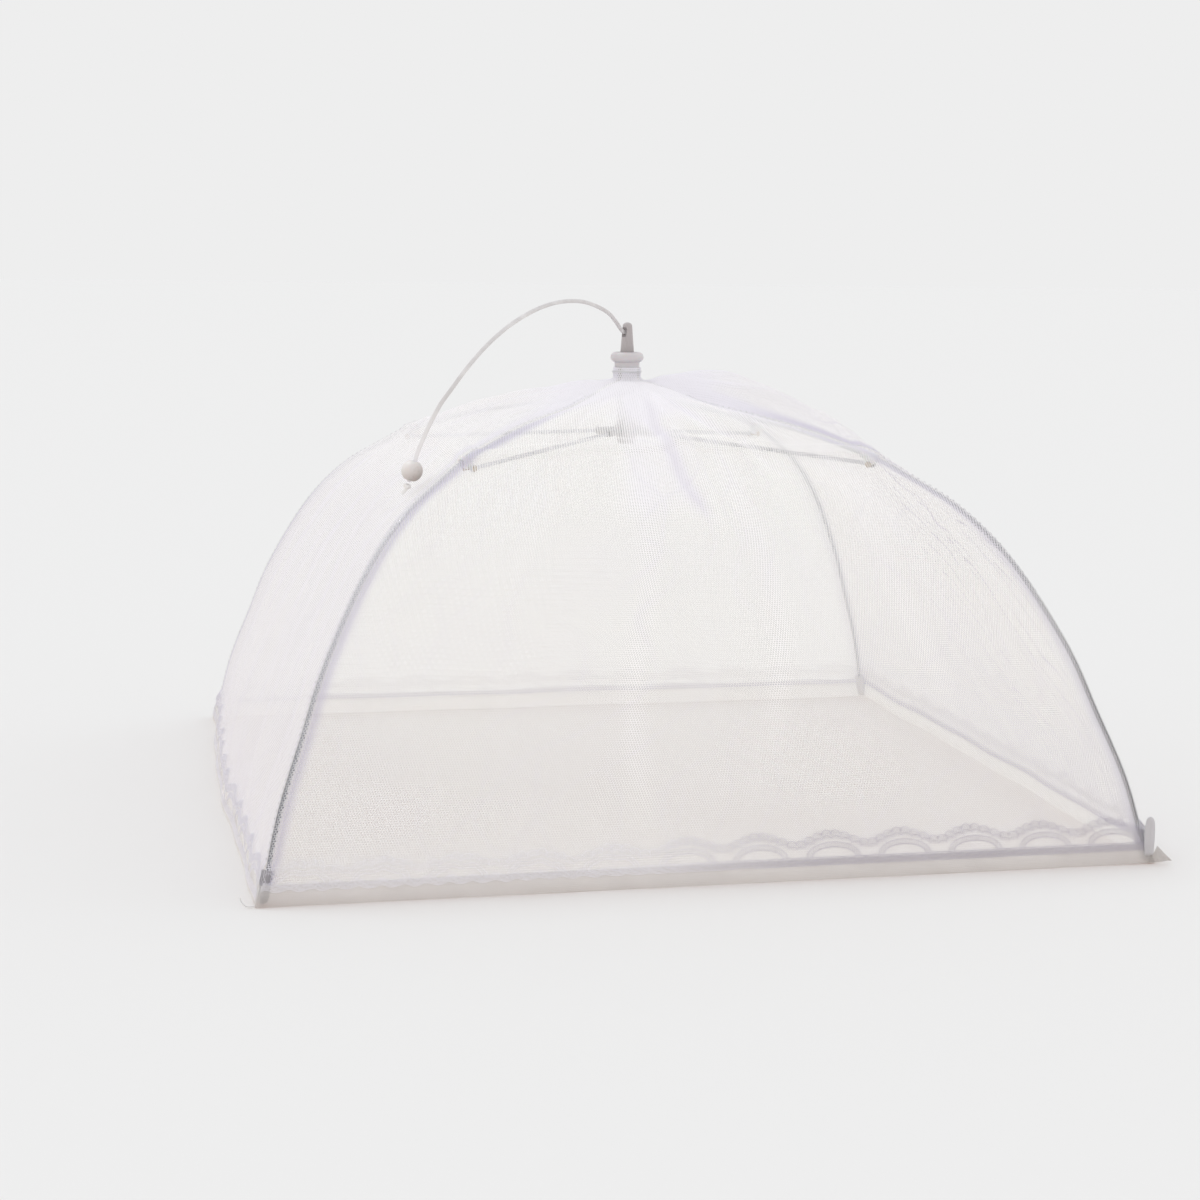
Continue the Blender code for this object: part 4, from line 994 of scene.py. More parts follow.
# %% Pull pin
PIN_HEAD_R, PIN_HEAD_T = 0.0042, 0.0012
EYE_WINDOW = (0.0120, 0.0030, 0.0050)
EYE_CORNER = 0.0010
EYE_BELOW_TIP = 0.0050
pin_low, pin_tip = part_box("pull_pin")[0][2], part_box("pull_pin")[1][2]
shoulder = ferrule_high + GAP
pin_profile = [(PIN_HEAD_R, pin_low), (PIN_HEAD_R, pin_low + PIN_HEAD_T), (PIN_SHAFT_R, pin_low + PIN_HEAD_T),
               (PIN_SHAFT_R, shoulder - RING_HALF), (PIN_SHOULDER_R, shoulder - RING_DISH)]
pin_profile += arc_points(0, pin_tip - PIN_DOME, PIN_TOP_R, PIN_DOME, 0, 84, 10)
pin = turned_piece(pin_profile, hollow=False, sides=48)
deselect()
bpy.ops.mesh.primitive_cube_add(size=1, scale=EYE_WINDOW)
window = bpy.context.object
only(window)
bpy.ops.object.transform_apply(scale=True)
bpy.ops.object.mode_set(mode="EDIT")
bpy.ops.mesh.select_mode(type="EDGE")
bpy.ops.mesh.select_all(action="DESELECT")
bpy.ops.object.mode_set(mode="OBJECT")
for edge in window.data.edges:
    a, b = (window.data.vertices[i].co for i in edge.vertices)
    edge.select = abs(a.x - b.x) > EYE_WINDOW[0] / 2
bpy.ops.object.mode_set(mode="EDIT")
bpy.ops.mesh.bevel(offset=EYE_CORNER, segments=5)
bpy.ops.mesh.select_mode(type="VERT")
bpy.ops.object.mode_set(mode="OBJECT")
eye_way = Vector(CORD_ROUTE[1]).xy
window.rotation_euler = (0, 0, math.atan2(eye_way.y, eye_way.x))
window.location = (0, 0, pin_tip - EYE_BELOW_TIP)
cut_with(pin, window)
soften(pin, EDGE, 2, 40)
finished(pin, "pull_pin_moulding", pin_finish, "runner", ["pull_pin"])

# %% [markdown]
# ## Wires
#
# Ribs and stretchers are 2 mm steel wire. Each ends in an eye bent round a thin tie wire that lies in the
# hub's or the runner's groove. One rib and one stretcher are made in the plane of the X axis and copied
# round the hub: a tube along a line, with a torus for each eye, thickened along its hinge pin.

# %% Helpers for wires and copies
def eye_loop(centre, major, minor, half_width):
    """A bent eye round a pin that lies along Y."""
    deselect()
    bpy.ops.mesh.primitive_torus_add(location=centre, rotation=(math.pi / 2, 0, 0), major_radius=major,
                                     minor_radius=minor, major_segments=32, minor_segments=12)
    loop = bpy.context.object
    loop.scale = (1, 1, half_width / minor)
    only(loop)
    bpy.ops.object.transform_apply(location=True, rotation=True, scale=True)
    loop.data.shade_smooth()
    return loop


def along_axis(piece, centre, way):
    """Turns a piece made along Z to lie along way at centre."""
    only(piece)
    turn = Vector((0, 0, 1)).rotation_difference(Vector(way)).to_matrix().to_4x4()
    piece.matrix_world = Matrix.Translation(centre) @ turn
    bpy.ops.object.transform_apply(location=True, rotation=True)
    return piece


def copies_round_hub(master, new_name, material, body, node):
    """Copies a piece made in the XZ plane to the four ribs; body and node are name beginnings."""
    made = []
    for name, degrees in RIB_NAMES.items():
        piece = master.copy()
        piece.data = master.data.copy()
        bpy.context.collection.objects.link(piece)
        piece.matrix_world = Matrix.Rotation(math.radians(degrees), 4, "Z")
        made.append(finished(piece, new_name + name, material, body + name, [node + name]))
    bpy.data.objects.remove(master)
    return made


# %% Ribs
EYE_HALF = 0.0008
rib_line = [(x, 0, z) for x, z in on_arch(np.linspace(EYE_R * 0.8, ARCH_LENGTH, 110))]
rib_wire = tube_curve("rib_wire", rib_line, WIRE_R, resolution=5)
hub_eye_r, hub_eye_wire_r = (EYE_HOLE_R + EYE_R) / 2, (EYE_R - EYE_HOLE_R) / 2
rib_eye = eye_loop((PIVOT_REACH, 0, PIVOT_HEIGHT), hub_eye_r, hub_eye_wire_r, EYE_HALF)
copies_round_hub(joined(rib_wire, rib_eye), "rib_wire_", steel_finish, "rib_", "rib_")

# %% Stretchers
STRETCHER_SIDESTEP = 0.0034
RIVET_R, RIVET_HEAD_R, RIVET_HEAD_T = 0.0008, 0.0016, 0.0006
JOINT_HEIGHT = float(on_arch(JOINT_ALONG)[1]) - RIVET_DROP
RIVET_PLACE = Vector((JOINT_REACH, 0, JOINT_HEIGHT))
stretcher_end = RIVET_PLACE + Vector((0, STRETCHER_SIDESTEP, 0))
stretcher_start = Vector((RUNNER_REACH, 0, RUNNER_HEIGHT))
stretcher_way = (stretcher_end - stretcher_start).normalized()
outer_eye_r = RIVET_R + GAP + 0.0004
stretcher_ends = [stretcher_start + stretcher_way * EYE_R * 0.8, stretcher_end - stretcher_way * outer_eye_r]
stretcher_wire = tube_curve("stretcher_wire", stretcher_ends, WIRE_R, resolution=5)
inner_eye = eye_loop(stretcher_start, hub_eye_r, hub_eye_wire_r, EYE_HALF)
outer_eye = eye_loop(stretcher_end, outer_eye_r, 0.0004, EYE_HALF)
copies_round_hub(joined(stretcher_wire, inner_eye, outer_eye), "stretcher_wire_", steel_finish, "stretcher_",
                 "stretcher_")

# %% Grey sleeves on the stretchers
SLEEVE_LENGTH, SLEEVE_WALL, SLEEVE_START = 0.0100, 0.0005, 0.0026
inner_r, outer_r = WIRE_R + GAP, WIRE_R + GAP + SLEEVE_WALL
sleeve_profile = [(inner_r, 0), (outer_r, 0), (outer_r * 0.97, SLEEVE_LENGTH / 2), (outer_r, SLEEVE_LENGTH),
                  (inner_r, SLEEVE_LENGTH)]
sleeve = turned_piece(sleeve_profile, sides=32)
soften(sleeve, SLEEVE_WALL / 4)
along_axis(sleeve, stretcher_start + stretcher_way * SLEEVE_START, stretcher_way)
copies_round_hub(sleeve, "inner_sleeve_", sleeve_finish, "stretcher_",
                 "stretcher_sleeve_")

# %% [markdown]
# ## Clips and rivets
#
# A milky plastic clip is moulded round each rib: a short sleeve with a rounded tab under it. A small brass
# rivet holds the stretcher's eye against the tab. The tab is a cylinder whose upper half is pulled up into
# the sleeve, then joined to it with a Boolean, bored for the rib and drilled for the rivet.

# %% Rib clips
CLIP_LENGTH = 0.0085
TAB_R, TAB_T = 0.0025, 0.0028
TAB_FACE = STRETCHER_SIDESTEP - WIRE_R - 2 * GAP
clip_centre, clip_way = arch_at(np.array([JOINT_ALONG]))
clip_centre = Vector((clip_centre[0, 0], 0, clip_centre[0, 1]))
clip_way = Vector((clip_way[0, 0], 0, clip_way[0, 1]))
clip = turned_piece([(CLIP_R, -CLIP_LENGTH / 2), (CLIP_R, CLIP_LENGTH / 2)], hollow=False, sides=40)
along_axis(clip, clip_centre, clip_way)
deselect()
bpy.ops.mesh.primitive_cylinder_add(vertices=40, radius=TAB_R, depth=TAB_T, rotation=(math.pi / 2, 0, 0),
                                    location=RIVET_PLACE + Vector((0, TAB_FACE - TAB_T / 2, 0)))
tab = bpy.context.object
only(tab)
bpy.ops.object.transform_apply(location=True, rotation=True)
for vertex in tab.data.vertices:
    vertex.select = vertex.co.z > RIVET_PLACE.z
bpy.ops.object.mode_set(mode="EDIT")
bpy.ops.transform.translate(value=(0, 0, RIVET_DROP - TAB_R * 0.8))
bpy.ops.object.mode_set(mode="OBJECT")
cut_with(clip, tab, "UNION")
bore = turned_piece([(WIRE_R + GAP, -CLIP_LENGTH), (WIRE_R + GAP, CLIP_LENGTH)], hollow=False, sides=32)
cut_with(clip, along_axis(bore, clip_centre, clip_way))
drill = turned_piece([(RIVET_R + GAP, -CLIP_LENGTH), (RIVET_R + GAP, CLIP_LENGTH)], hollow=False, sides=32)
cut_with(clip, along_axis(drill, RIVET_PLACE, (0, 1, 0)))
soften(clip, EDGE * 0.8, 2, 40)
copies_round_hub(clip, "clip_moulding_", clip_finish, "rib_", "rib_clip_")

# %% Rivets
def domed_rivet(shaft_start, shaft_end, side):
    """A rivet along Y: a shaft from start to end, and a dome past shaft_start on the given side."""
    dome = [(RIVET_R, shaft_end), (RIVET_R, shaft_start), (RIVET_HEAD_R, shaft_start)]
    dome += [(r, shaft_start + side * h) for r, h in arc_points(0, 0, RIVET_HEAD_R, RIVET_HEAD_T, 12, 82, 6)]
    rivet = turned_piece(dome, hollow=False, sides=28)
    soften(rivet, EDGE / 5, 1, 50)
    return along_axis(rivet, RIVET_PLACE, (0, 1, 0))


tab_back = TAB_FACE - TAB_T - GAP
eye_far = STRETCHER_SIDESTEP + EYE_HALF + GAP
head = domed_rivet(tab_back, TAB_FACE, -1)
copies_round_hub(head, "rivet_head_", brass_finish, "rib_", "clip_rivet_")
end = domed_rivet(eye_far, TAB_FACE + 2 * GAP, 1)
copies_round_hub(end, "rivet_end_", brass_finish, "stretcher_", "rivet_tail_")

# %% [markdown]
# ## Tie wires
#
# A ring of thin wire lies in the groove of the hub, and another in the runner's, through the eyes of the
# ribs and stretchers. A torus makes the ring. The runner's ring is closed by twisting its two ends
# together, which are two thin tubes wound round each other.

# %% Tie wires
TWIST_HEIGHT, TWIST_R, TWIST_TURNS, TWIST_STANDOFF = 0.0075, 0.00045, 3.5, 0.0014


def tie_ring(name, major, height, body, node, tail_way=None):
    """A thin ring of wire; a tail is its two ends twisted together and bent up."""
    deselect()
    bpy.ops.mesh.primitive_torus_add(location=(0, 0, height), major_radius=major, minor_radius=TIE_WIRE_R,
                                     major_segments=72, minor_segments=10)
    ring = bpy.context.object
    ring.data.shade_smooth()
    if tail_way:
        strands = []
        for phase in (0, math.pi):
            line = []
            for i in range(36):
                t = i / 35
                a = phase + math.tau * TWIST_TURNS * t
                centre = Vector(tail_way) * (major + TWIST_STANDOFF * min(t * 4, 1))
                centre += Vector((0, 0, height + TWIST_HEIGHT * t))
                line.append(centre + Vector((math.cos(a), math.sin(a), 0)) * TWIST_R * min(t * 6, 1))
            strands.append(tube_curve("strand", line, TIE_WIRE_R * 0.8, resolution=1))
        joined(ring, *strands)
    return finished(ring, name, steel_finish, body, [node])


tie_ring("hub_tie_wire", PIVOT_REACH, PIVOT_HEIGHT, "ferrule", "rib_tie_wire")
tie_ring("runner_tie_wire", RUNNER_REACH, RUNNER_HEIGHT, "runner", "stretcher_tie_wire",
         (level.x, level.y, 0))

# %% [markdown]
# ## The canopy's surface
#
# The net has four panels, one between each pair of ribs. A panel is straight from rib to rib at the hem
# and round at the neck, bellies outwards where the cloth is loose, and carries soft folds. One function
# gives a place on the canopy from the panel, a length along the rib and the way across the panel, which
# runs from -1 at one rib through 0 at the middle to 1 at the other. Everything sewn to the net uses it.

# %% Panels and their folds
PANELS = {"front": -90, "right": 0, "back": 90, "left": 180}
PANEL_PUFFS = {"front": 0.0080, "right": 0.0180, "back": 0.0095, "left": 0.0095}
PUFF_PEAK_SHARE = 0.27
PUFF_START_REACH = 0.020
NECK_R = 0.0071
NECK_TOP_HEIGHT, NECK_TURN_HEIGHT = 0.2178, 0.2125
NECK_FOOT_R, NECK_FOOT_RISE, NECK_LIFT_REACH = 0.0085, 0.0064, 0.0600
LEFT_HEM_BULGE = 0.0050
FOLD_WANDER, FOLD_FULL, FOLD_EDGE = 0.02, 0.0012, 0.08
RIPPLE = 0.00045


def ease(value, low, high):
    t = np.clip((value - low) / (high - low), 0, 1)
    return t * t * (3 - 2 * t)


def hand_folds(seed, count, across, start, end, lean, depth, width):
    """Folds that run down a panel; every pair is the range that a fold's own number is drawn from."""
    draw = np.random.default_rng(seed)
    folds = []
    for i in range(count):
        place = across[0] + (across[1] - across[0]) * (i + draw.uniform(0.1, 0.9)) / count
        folds.append((place, place + draw.uniform(*lean), draw.uniform(*start), draw.uniform(*end),
                      draw.uniform(*depth), draw.uniform(*width), draw.uniform(0, math.tau)))
    return folds


FOLDS = {
    "front": hand_folds(3, 22, (-1, 1), (0.010, 0.016), (0.07, 0.14),
                        (-0.10, 0.10), (-0.0009, 0.0006), (0.0012, 0.0030))
    + hand_folds(4, 7, (-0.9, 0.9), (0.05, 0.12), (0.26, 0.36),
                 (-0.12, 0.12), (-0.0012, 0.0010), (0.004, 0.008))
    + [(0.00, 0.06, 0.008, 0.21, 0.0040, 0.0060, 0.0), (0.10, 0.42, 0.008, 0.165, -0.0034, 0.0050, 1.0)],
    "right": hand_folds(5, 14, (-1, 1), (0.012, 0.03), (0.06, 0.13),
                        (-0.15, 0.15), (-0.0014, 0.0012), (0.002, 0.005))
    + hand_folds(6, 13, (-0.93, 0.25), (0.10, 0.19), (0.27, 0.37),
                 (-0.32, 0.02), (-0.0013, -0.0005), (0.0012, 0.0026))
    + hand_folds(16, 8, (-0.85, 0.30), (0.14, 0.22), (0.24, 0.31),
                 (0.05, 0.30), (-0.0010, -0.0004), (0.0012, 0.0024)),
    "back": hand_folds(7, 16, (-1, 1), (0.010, 0.02), (0.07, 0.14),
                       (-0.1, 0.1), (-0.0009, 0.0007), (0.0015, 0.004))
    + hand_folds(8, 6, (-0.9, 0.9), (0.06, 0.14), (0.26, 0.36),
                 (-0.1, 0.1), (-0.0012, 0.0012), (0.005, 0.009)),
    "left": hand_folds(9, 16, (-1, 1), (0.010, 0.02), (0.08, 0.16),
                       (-0.1, 0.1), (-0.0009, 0.0007), (0.0015, 0.004))
    + hand_folds(10, 15, (-0.95, 0.95), (0.08, 0.20), (0.28, 0.38),
                 (-0.15, 0.15), (-0.0016, 0.0012), (0.002, 0.006)),
}
print("folds per panel:", {panel: len(folds) for panel, folds in FOLDS.items()})


# %% How deep a panel's surface lies
def fold_depth(panel, along, across, reach):
    """How far the panel's folds stand out, and how closely they gather the net."""
    depth = np.zeros_like(along)
    gathered = np.zeros_like(along)
    for start_w, end_w, start, end, height, width, phase in FOLDS[panel]:
        t = (along - start) / (end - start)
        line = start_w + (end_w - start_w) * t + FOLD_WANDER * np.sin(9 * t + phase)
        off = (across - line) * reach / math.sqrt(2)
        live = np.sin(np.pi * np.clip(t, 0, 1)) ** 0.6
        ridge = np.exp(-((off / width) ** 2)) * live
        depth += height * ridge
        gathered = np.maximum(gathered, ridge * min(abs(height) / FOLD_FULL, 1))
    edge = ease(1 - np.abs(across), 0, FOLD_EDGE)
    return depth * edge, gathered * edge


def puff_depth(panel, reach, across):
    x = reach / CORNER_REACH
    rise = (x / PUFF_PEAK_SHARE * np.exp(1 - x / PUFF_PEAK_SHARE)) ** 2 * (1 - np.minimum(x, 1) ** 6)
    return PANEL_PUFFS[panel] * rise * np.cos(np.pi * across / 2) * ease(reach, NECK_R, PUFF_START_REACH)


def ripple(panel, along, across):
    """Slow unevenness of hand-sewn cloth, a fraction of a millimetre."""
    k = PANELS[panel] / 90
    waves = (np.sin(21 * along + 5 * across + k) + np.sin(47 * along - 9 * across + 2 * k)
             + np.sin(33 * along + 17 * across + 3 * k))
    return RIPPLE * waves * ease(1 - np.abs(across), 0, 0.15) * ease(along, 0.03, 0.1)


# %% [markdown]
# ## Marks on the net
#
# The material can't know where the net is gathered, creased or shaded, so every vertex carries that as a
# number. The real net is drawn together at the neck, beside the ribs and in the pleat below the hub,
# and hangs open over the bare wires. The numbers were found by comparing renders with the photograph.

# %% Strength and place of the marks
MARKS = ("gather", "creased", "crease_across", "crease_along", "shade")
NECK_VEIL, NECK_VEIL_START = 0.92, 0.020
NECK_VEIL_REACH = {"front": 0.125, "right": 0.085, "back": 0.070, "left": 0.095}
HUB_VEIL, HUB_VEIL_SPREAD, HUB_VEIL_FADE = 0.98, 0.34, (0.088, 0.128)
# Gather added over each whole panel; on the sides it also paints lavender shade.
PANEL_GATHER = {"front": 0.0, "right": 0.20, "back": 0.04, "left": 0.23}
FOLD_GATHER = 0.45
HIGH_FADE = (0.07, 0.20)
RIB_BAND, RIB_BAND_HIGH = 0.40, 0.2
BAND_PLACE, BAND_PLACE_HIGH, BAND_HALF, BAND_HALF_HIGH = 0.0055, 0.003, 0.0035, 0.004
BARE_WIRE, BARE_HALF = 0.8, (0.0012, 0.0028)
BARE_LOW, BARE_HIGH, BARE_HIGH_SHARE = (0.25, 0.33), (0.12, 0.17), 0.9
PANEL_CREASES = {"front": 0.16, "right": 1.0, "back": 0.10, "left": 0.14}
CREASE_START, CREASE_EDGE = (0.07, 0.16), (0, 0.05)
RIGHT_CREASE_LEAST, RIGHT_CREASE_FADE = 0.25, (-0.3, 0.3)
RIGHT_DRAWN_IN, DRAWN_IN_START = 0.78, 0.12
RIB_SHADES = {("front", 225): 0.75, ("right", -45): 0.60, ("front", -45): 0.45, ("left", 225): 0.10,
              ("left", 135): 0.45, ("back", 135): 0.45}
OTHER_RIB_SHADE, RIB_SHADE_START = 0.15, (0.04, 0.12)
PANEL_SHADES = {"front": (0.0, 0.0), "right": (0.16, 0.26), "back": (0.18, 0.0), "left": (0.06, 0.20)}
HIGH_SHADE_FADE, LOW_SHADE_START, LEFT_LOW_SHADE_START = (0.10, 0.20), (0.27, 0.37), (0.13, 0.22)
SEAM_LINES, SEAM_SHADE, SEAM_RISE, SEAM_HALF = ("back", "right"), 0.60, 0.0012, 0.0016
PLEAT_ALONG = (0.020, 0.068, 0.115, 0.151, 0.173, 0.194, 0.204)
PLEAT_RIGHT = (-0.02, -0.05, -0.05, 0.00, 0.02, 0.06, 0.12)
PLEAT_LEFT = -0.27
PLEAT_SHADE, PLEAT_EDGE_SHIFT, PLEAT_EDGE_HALF = 0.17, 0.015, 0.03
PLEAT_SOFT_LEFT, PLEAT_SOFT_RIGHT = (-0.06, 0.10), (-0.01, 0.02)
PLEAT_INSIDE, PLEAT_BAND, PLEAT_BAND_SHIFT, PLEAT_BAND_HALF = 0.42, 0.45, 0.02, 0.035
PLEAT_START, PLEAT_END = (0.0, 0.02), (0.180, 0.204)
PLEAT_SHADE_START, PLEAT_SHADE_END = (0.04, 0.10), (0.185, 0.206)
RUMPLE_GATHER, RUMPLE_START = 0.45, (0.325, 0.352)
MOST_OPEN = -0.4
print("marks:", *MARKS)


# %% Marks that the net's material reads
def rumpled(along, across):
    """Patches of cloth bunched up behind the lace, 0 to 1."""
    down = np.sin(260 * along + 5 * np.sin(37 * across))
    return 0.5 + 0.5 * np.sin(83 * across + 9 * np.sin(210 * along)) * down


def front_pleat(along, across):
    """How much the pleat below the hub doubles the front's net: a wedge with a denser right edge."""
    right = np.interp(along, PLEAT_ALONG, PLEAT_RIGHT)
    left_edge = ease(across, PLEAT_LEFT + PLEAT_SOFT_LEFT[0], PLEAT_LEFT + PLEAT_SOFT_LEFT[1])
    inside = left_edge * (1 - ease(across, right + PLEAT_SOFT_RIGHT[0], right + PLEAT_SOFT_RIGHT[1]))
    band = np.exp(-(((across - right + PLEAT_BAND_SHIFT) / PLEAT_BAND_HALF) ** 2))
    doubled = PLEAT_INSIDE * inside + PLEAT_BAND * band
    return doubled * (1 - ease(along, *PLEAT_END)) * ease(along, *PLEAT_START)


def gather_mark(panel, along, across, reach, near_rib, high, gathered):
    """How closely the net is drawn together, which closes its holes and paints lavender shade; below 0 where
    it is stretched open.
    """
    near_neck = 1 - ease(reach, NECK_VEIL_START, NECK_VEIL_REACH[panel])
    if panel == "front":
        over_hub = np.exp(-((across / HUB_VEIL_SPREAD) ** 2)) * (1 - ease(reach, *HUB_VEIL_FADE))
        near_neck = np.maximum(near_neck, HUB_VEIL * over_hub)
    bare = np.maximum(ease(along, *BARE_LOW), BARE_HIGH_SHARE * (1 - ease(along, *BARE_HIGH)))
    over_wire = (1 - ease((1 - np.abs(across)) * reach, *BARE_HALF)) * bare
    pleat = front_pleat(along, across) if panel == "front" else 0.0
    gather = (NECK_VEIL * near_neck + (RIB_BAND + RIB_BAND_HIGH * high) * near_rib + FOLD_GATHER * gathered
              + PANEL_GATHER[panel] + pleat - BARE_WIRE * over_wire)
    if panel == "left":
        gather = gather + RUMPLE_GATHER * rumpled(along, across) * ease(along, *RUMPLE_START)
    return np.clip(gather, MOST_OPEN, 1)


def shade_mark(panel, rib_degrees, along, across, near_rib):
    """How much the net is shaded: beside the ribs, at the top and foot of a panel, and along seams."""
    shade = RIB_SHADES.get((panel, rib_degrees), OTHER_RIB_SHADE) * near_rib * ease(along, *RIB_SHADE_START)
    high_shade, low_shade = PANEL_SHADES[panel]
    low_start = LEFT_LOW_SHADE_START if panel == "left" else LOW_SHADE_START
    shade = shade + high_shade * (1 - ease(along, *HIGH_SHADE_FADE))
    shade = shade + low_shade * ease(along, *low_start)
    if panel == "front":
        edge = (across - np.interp(along, PLEAT_ALONG, PLEAT_RIGHT) + PLEAT_EDGE_SHIFT) / PLEAT_EDGE_HALF
        live = (1 - ease(along, *PLEAT_SHADE_END)) * ease(along, *PLEAT_SHADE_START)
        shade = shade + PLEAT_SHADE * np.exp(-(edge**2)) * live
    if panel in SEAM_LINES:
        shade = shade + SEAM_SHADE * np.exp(-(((along - NET_END + SEAM_RISE) / SEAM_HALF) ** 2))
    return np.clip(shade, 0, 1)


def net_marks(panel, rib_degrees, along, across, reach, gathered):
    """All the marks at once, in the order of MARKS."""
    high = 1 - ease(along, *HIGH_FADE)
    from_band = (1 - np.abs(across)) * reach - BAND_PLACE - BAND_PLACE_HIGH * high
    near_rib = np.exp(-((from_band / (BAND_HALF + BAND_HALF_HIGH * high)) ** 2))
    creased = PANEL_CREASES[panel] * ease(along, *CREASE_START) * ease(1 - np.abs(across), *CREASE_EDGE)
    drawn_in = 1.0
    if panel == "right":
        more_in_front = (1 - RIGHT_CREASE_LEAST) * ease(-across, *RIGHT_CREASE_FADE)
        creased = creased * (RIGHT_CREASE_LEAST + more_in_front)
        drawn_in = 1 - RIGHT_DRAWN_IN * ease(along, DRAWN_IN_START, ARCH_LENGTH)
    return np.stack([gather_mark(panel, along, across, reach, near_rib, high, gathered), creased,
                     (across + 1) / 2 / drawn_in, along + 0 * across,
                     shade_mark(panel, rib_degrees, along, across, near_rib)], -1)


# %% One place on the canopy
def canopy(panel, rib_degrees, place, way, along, u, out=0.0):
    """Places on a panel and the net's marks there; u is 0 at this rib and 1 at the panel's middle."""
    middle_angle = math.radians(PANELS[panel])
    to_rib = math.radians((rib_degrees - PANELS[panel] + 180) % 360 - 180)
    across = math.copysign(1, to_rib) * (1 - u)
    reach, height = place[..., 0], place[..., 1]
    middle = np.array([math.cos(middle_angle), math.sin(middle_angle)])
    rib = np.array([math.cos(middle_angle + to_rib), math.sin(middle_angle + to_rib)])
    roundness = 1 - ease(reach, NECK_FOOT_R, NECK_LIFT_REACH)
    turn = middle_angle + to_rib * (1 - u)
    straight = rib * (1 - u)[..., None] + middle * (u / math.sqrt(2))[..., None]
    circle = np.stack([np.cos(turn), np.sin(turn)], -1)
    flat = reach[..., None] * (straight * (1 - roundness)[..., None] + circle * roundness[..., None])
    folds, gathered = fold_depth(panel, along, across, reach)
    depth = puff_depth(panel, reach, across) + folds + ripple(panel, along, across) + out
    normal = np.stack([-way[..., 1] * middle[0], -way[..., 1] * middle[1], way[..., 0]], -1)
    found = np.concatenate([flat, height[..., None]], -1) + depth[..., None] * normal
    if panel == "left":
        swell = LEFT_HEM_BULGE * np.cos(np.pi * across / 2) ** 2 * ease(along, ARCH_LENGTH / 2, NET_END)
        found[..., :2] += swell[..., None] * middle
    return found, net_marks(panel, rib_degrees, along, across, reach, gathered)


# %% The cloth over a rib
CLIP_HALF, CLIP_FADE = 0.0043, 0.005
POCKET_LENGTH, POCKET_FADE, POCKET_THICKNESS = 0.0120, 0.004, 0.0011
NECK_DROP = 0.0016


def over_rib(along, clearance=0.00015):
    """The cloth's reach and height over a rib: on the wire, and raised over the clip and the sleeve."""
    place, way = arch_at(along)
    over_clip = 1 - ease(np.abs(along - JOINT_ALONG), CLIP_HALF, CLIP_HALF + CLIP_FADE)
    over_sleeve = ease(along, ARCH_LENGTH - POCKET_LENGTH - POCKET_FADE, ARCH_LENGTH - POCKET_LENGTH)
    wire = WIRE_R + np.maximum(over_clip * (CLIP_R - WIRE_R), over_sleeve * POCKET_THICKNESS) + clearance
    found = place + (wire * math.sqrt(2))[..., None] * np.stack([-way[..., 1], way[..., 0]], -1)
    near_neck = 1 - ease(found[..., 0], NECK_FOOT_R, NECK_LIFT_REACH)
    found[..., 1] += (NECK_FOOT_RISE - NECK_DROP) * near_neck
    return found, way


HEM_T = 0.0008
hem_top = over_rib(np.array([NET_END]))[0][0]
hem_foot = np.array([CORNER_REACH - HEM_T / 2 * math.sqrt(2), HEM_T / 4])


def cloth_line(along):
    """The cloth over a rib, and below the net's end the hem's straight fall to the table."""
    found, way = over_rib(np.minimum(along, NET_END))
    fall = np.clip((along - NET_END) / HEM_HEIGHT, 0, 1)[..., None]
    return found + (hem_foot - hem_top) * fall, way


def half_panels(rib_degrees):
    """The two panels beside a rib: first the one on the clockwise side, as seen from above."""
    near = sorted(PANELS, key=lambda p: abs((PANELS[p] - rib_degrees + 180) % 360 - 180))[:2]
    return sorted(near, key=lambda p: (PANELS[p] - rib_degrees + 180) % 360)


def quarter_grid(rib_degrees, place, way, along, columns, out=0.0):
    """A grid over both half panels of a rib, from one panel's middle over the rib to the other's."""
    u = np.linspace(0, 1, columns + 1)
    sheets = []
    for panel, shares in zip(half_panels(rib_degrees), (u[::-1], u)):
        rows, cols = np.meshgrid(np.arange(len(along)), shares, indexing="ij")
        sheets.append(canopy(panel, rib_degrees, place[rows], way[rows], along[rows], cols, out))
    points = np.concatenate([sheets[0][0], sheets[1][0][:, 1:]], 1)
    marks = np.concatenate([sheets[0][1], sheets[1][1][:, 1:]], 1)
    return points, marks


# %% [markdown]
# ## The net
#
# Each quarter of the net starts as a flat grid, whose vertices are then laid on the canopy's surface. Its
# UV map holds the flat cloth's own metres: across from the rib, and down from the neck, so the holes keep
# their real size. The quarters meet edge to edge in the middle of each side, and each rides on its rib.

# %% Helpers for cloth sheets
def set_mark(piece, label, values, domain="POINT"):
    mark = piece.data.attributes.new(label, "FLOAT", domain)
    mark.data.foreach_set("value", np.asarray(values, np.float32))


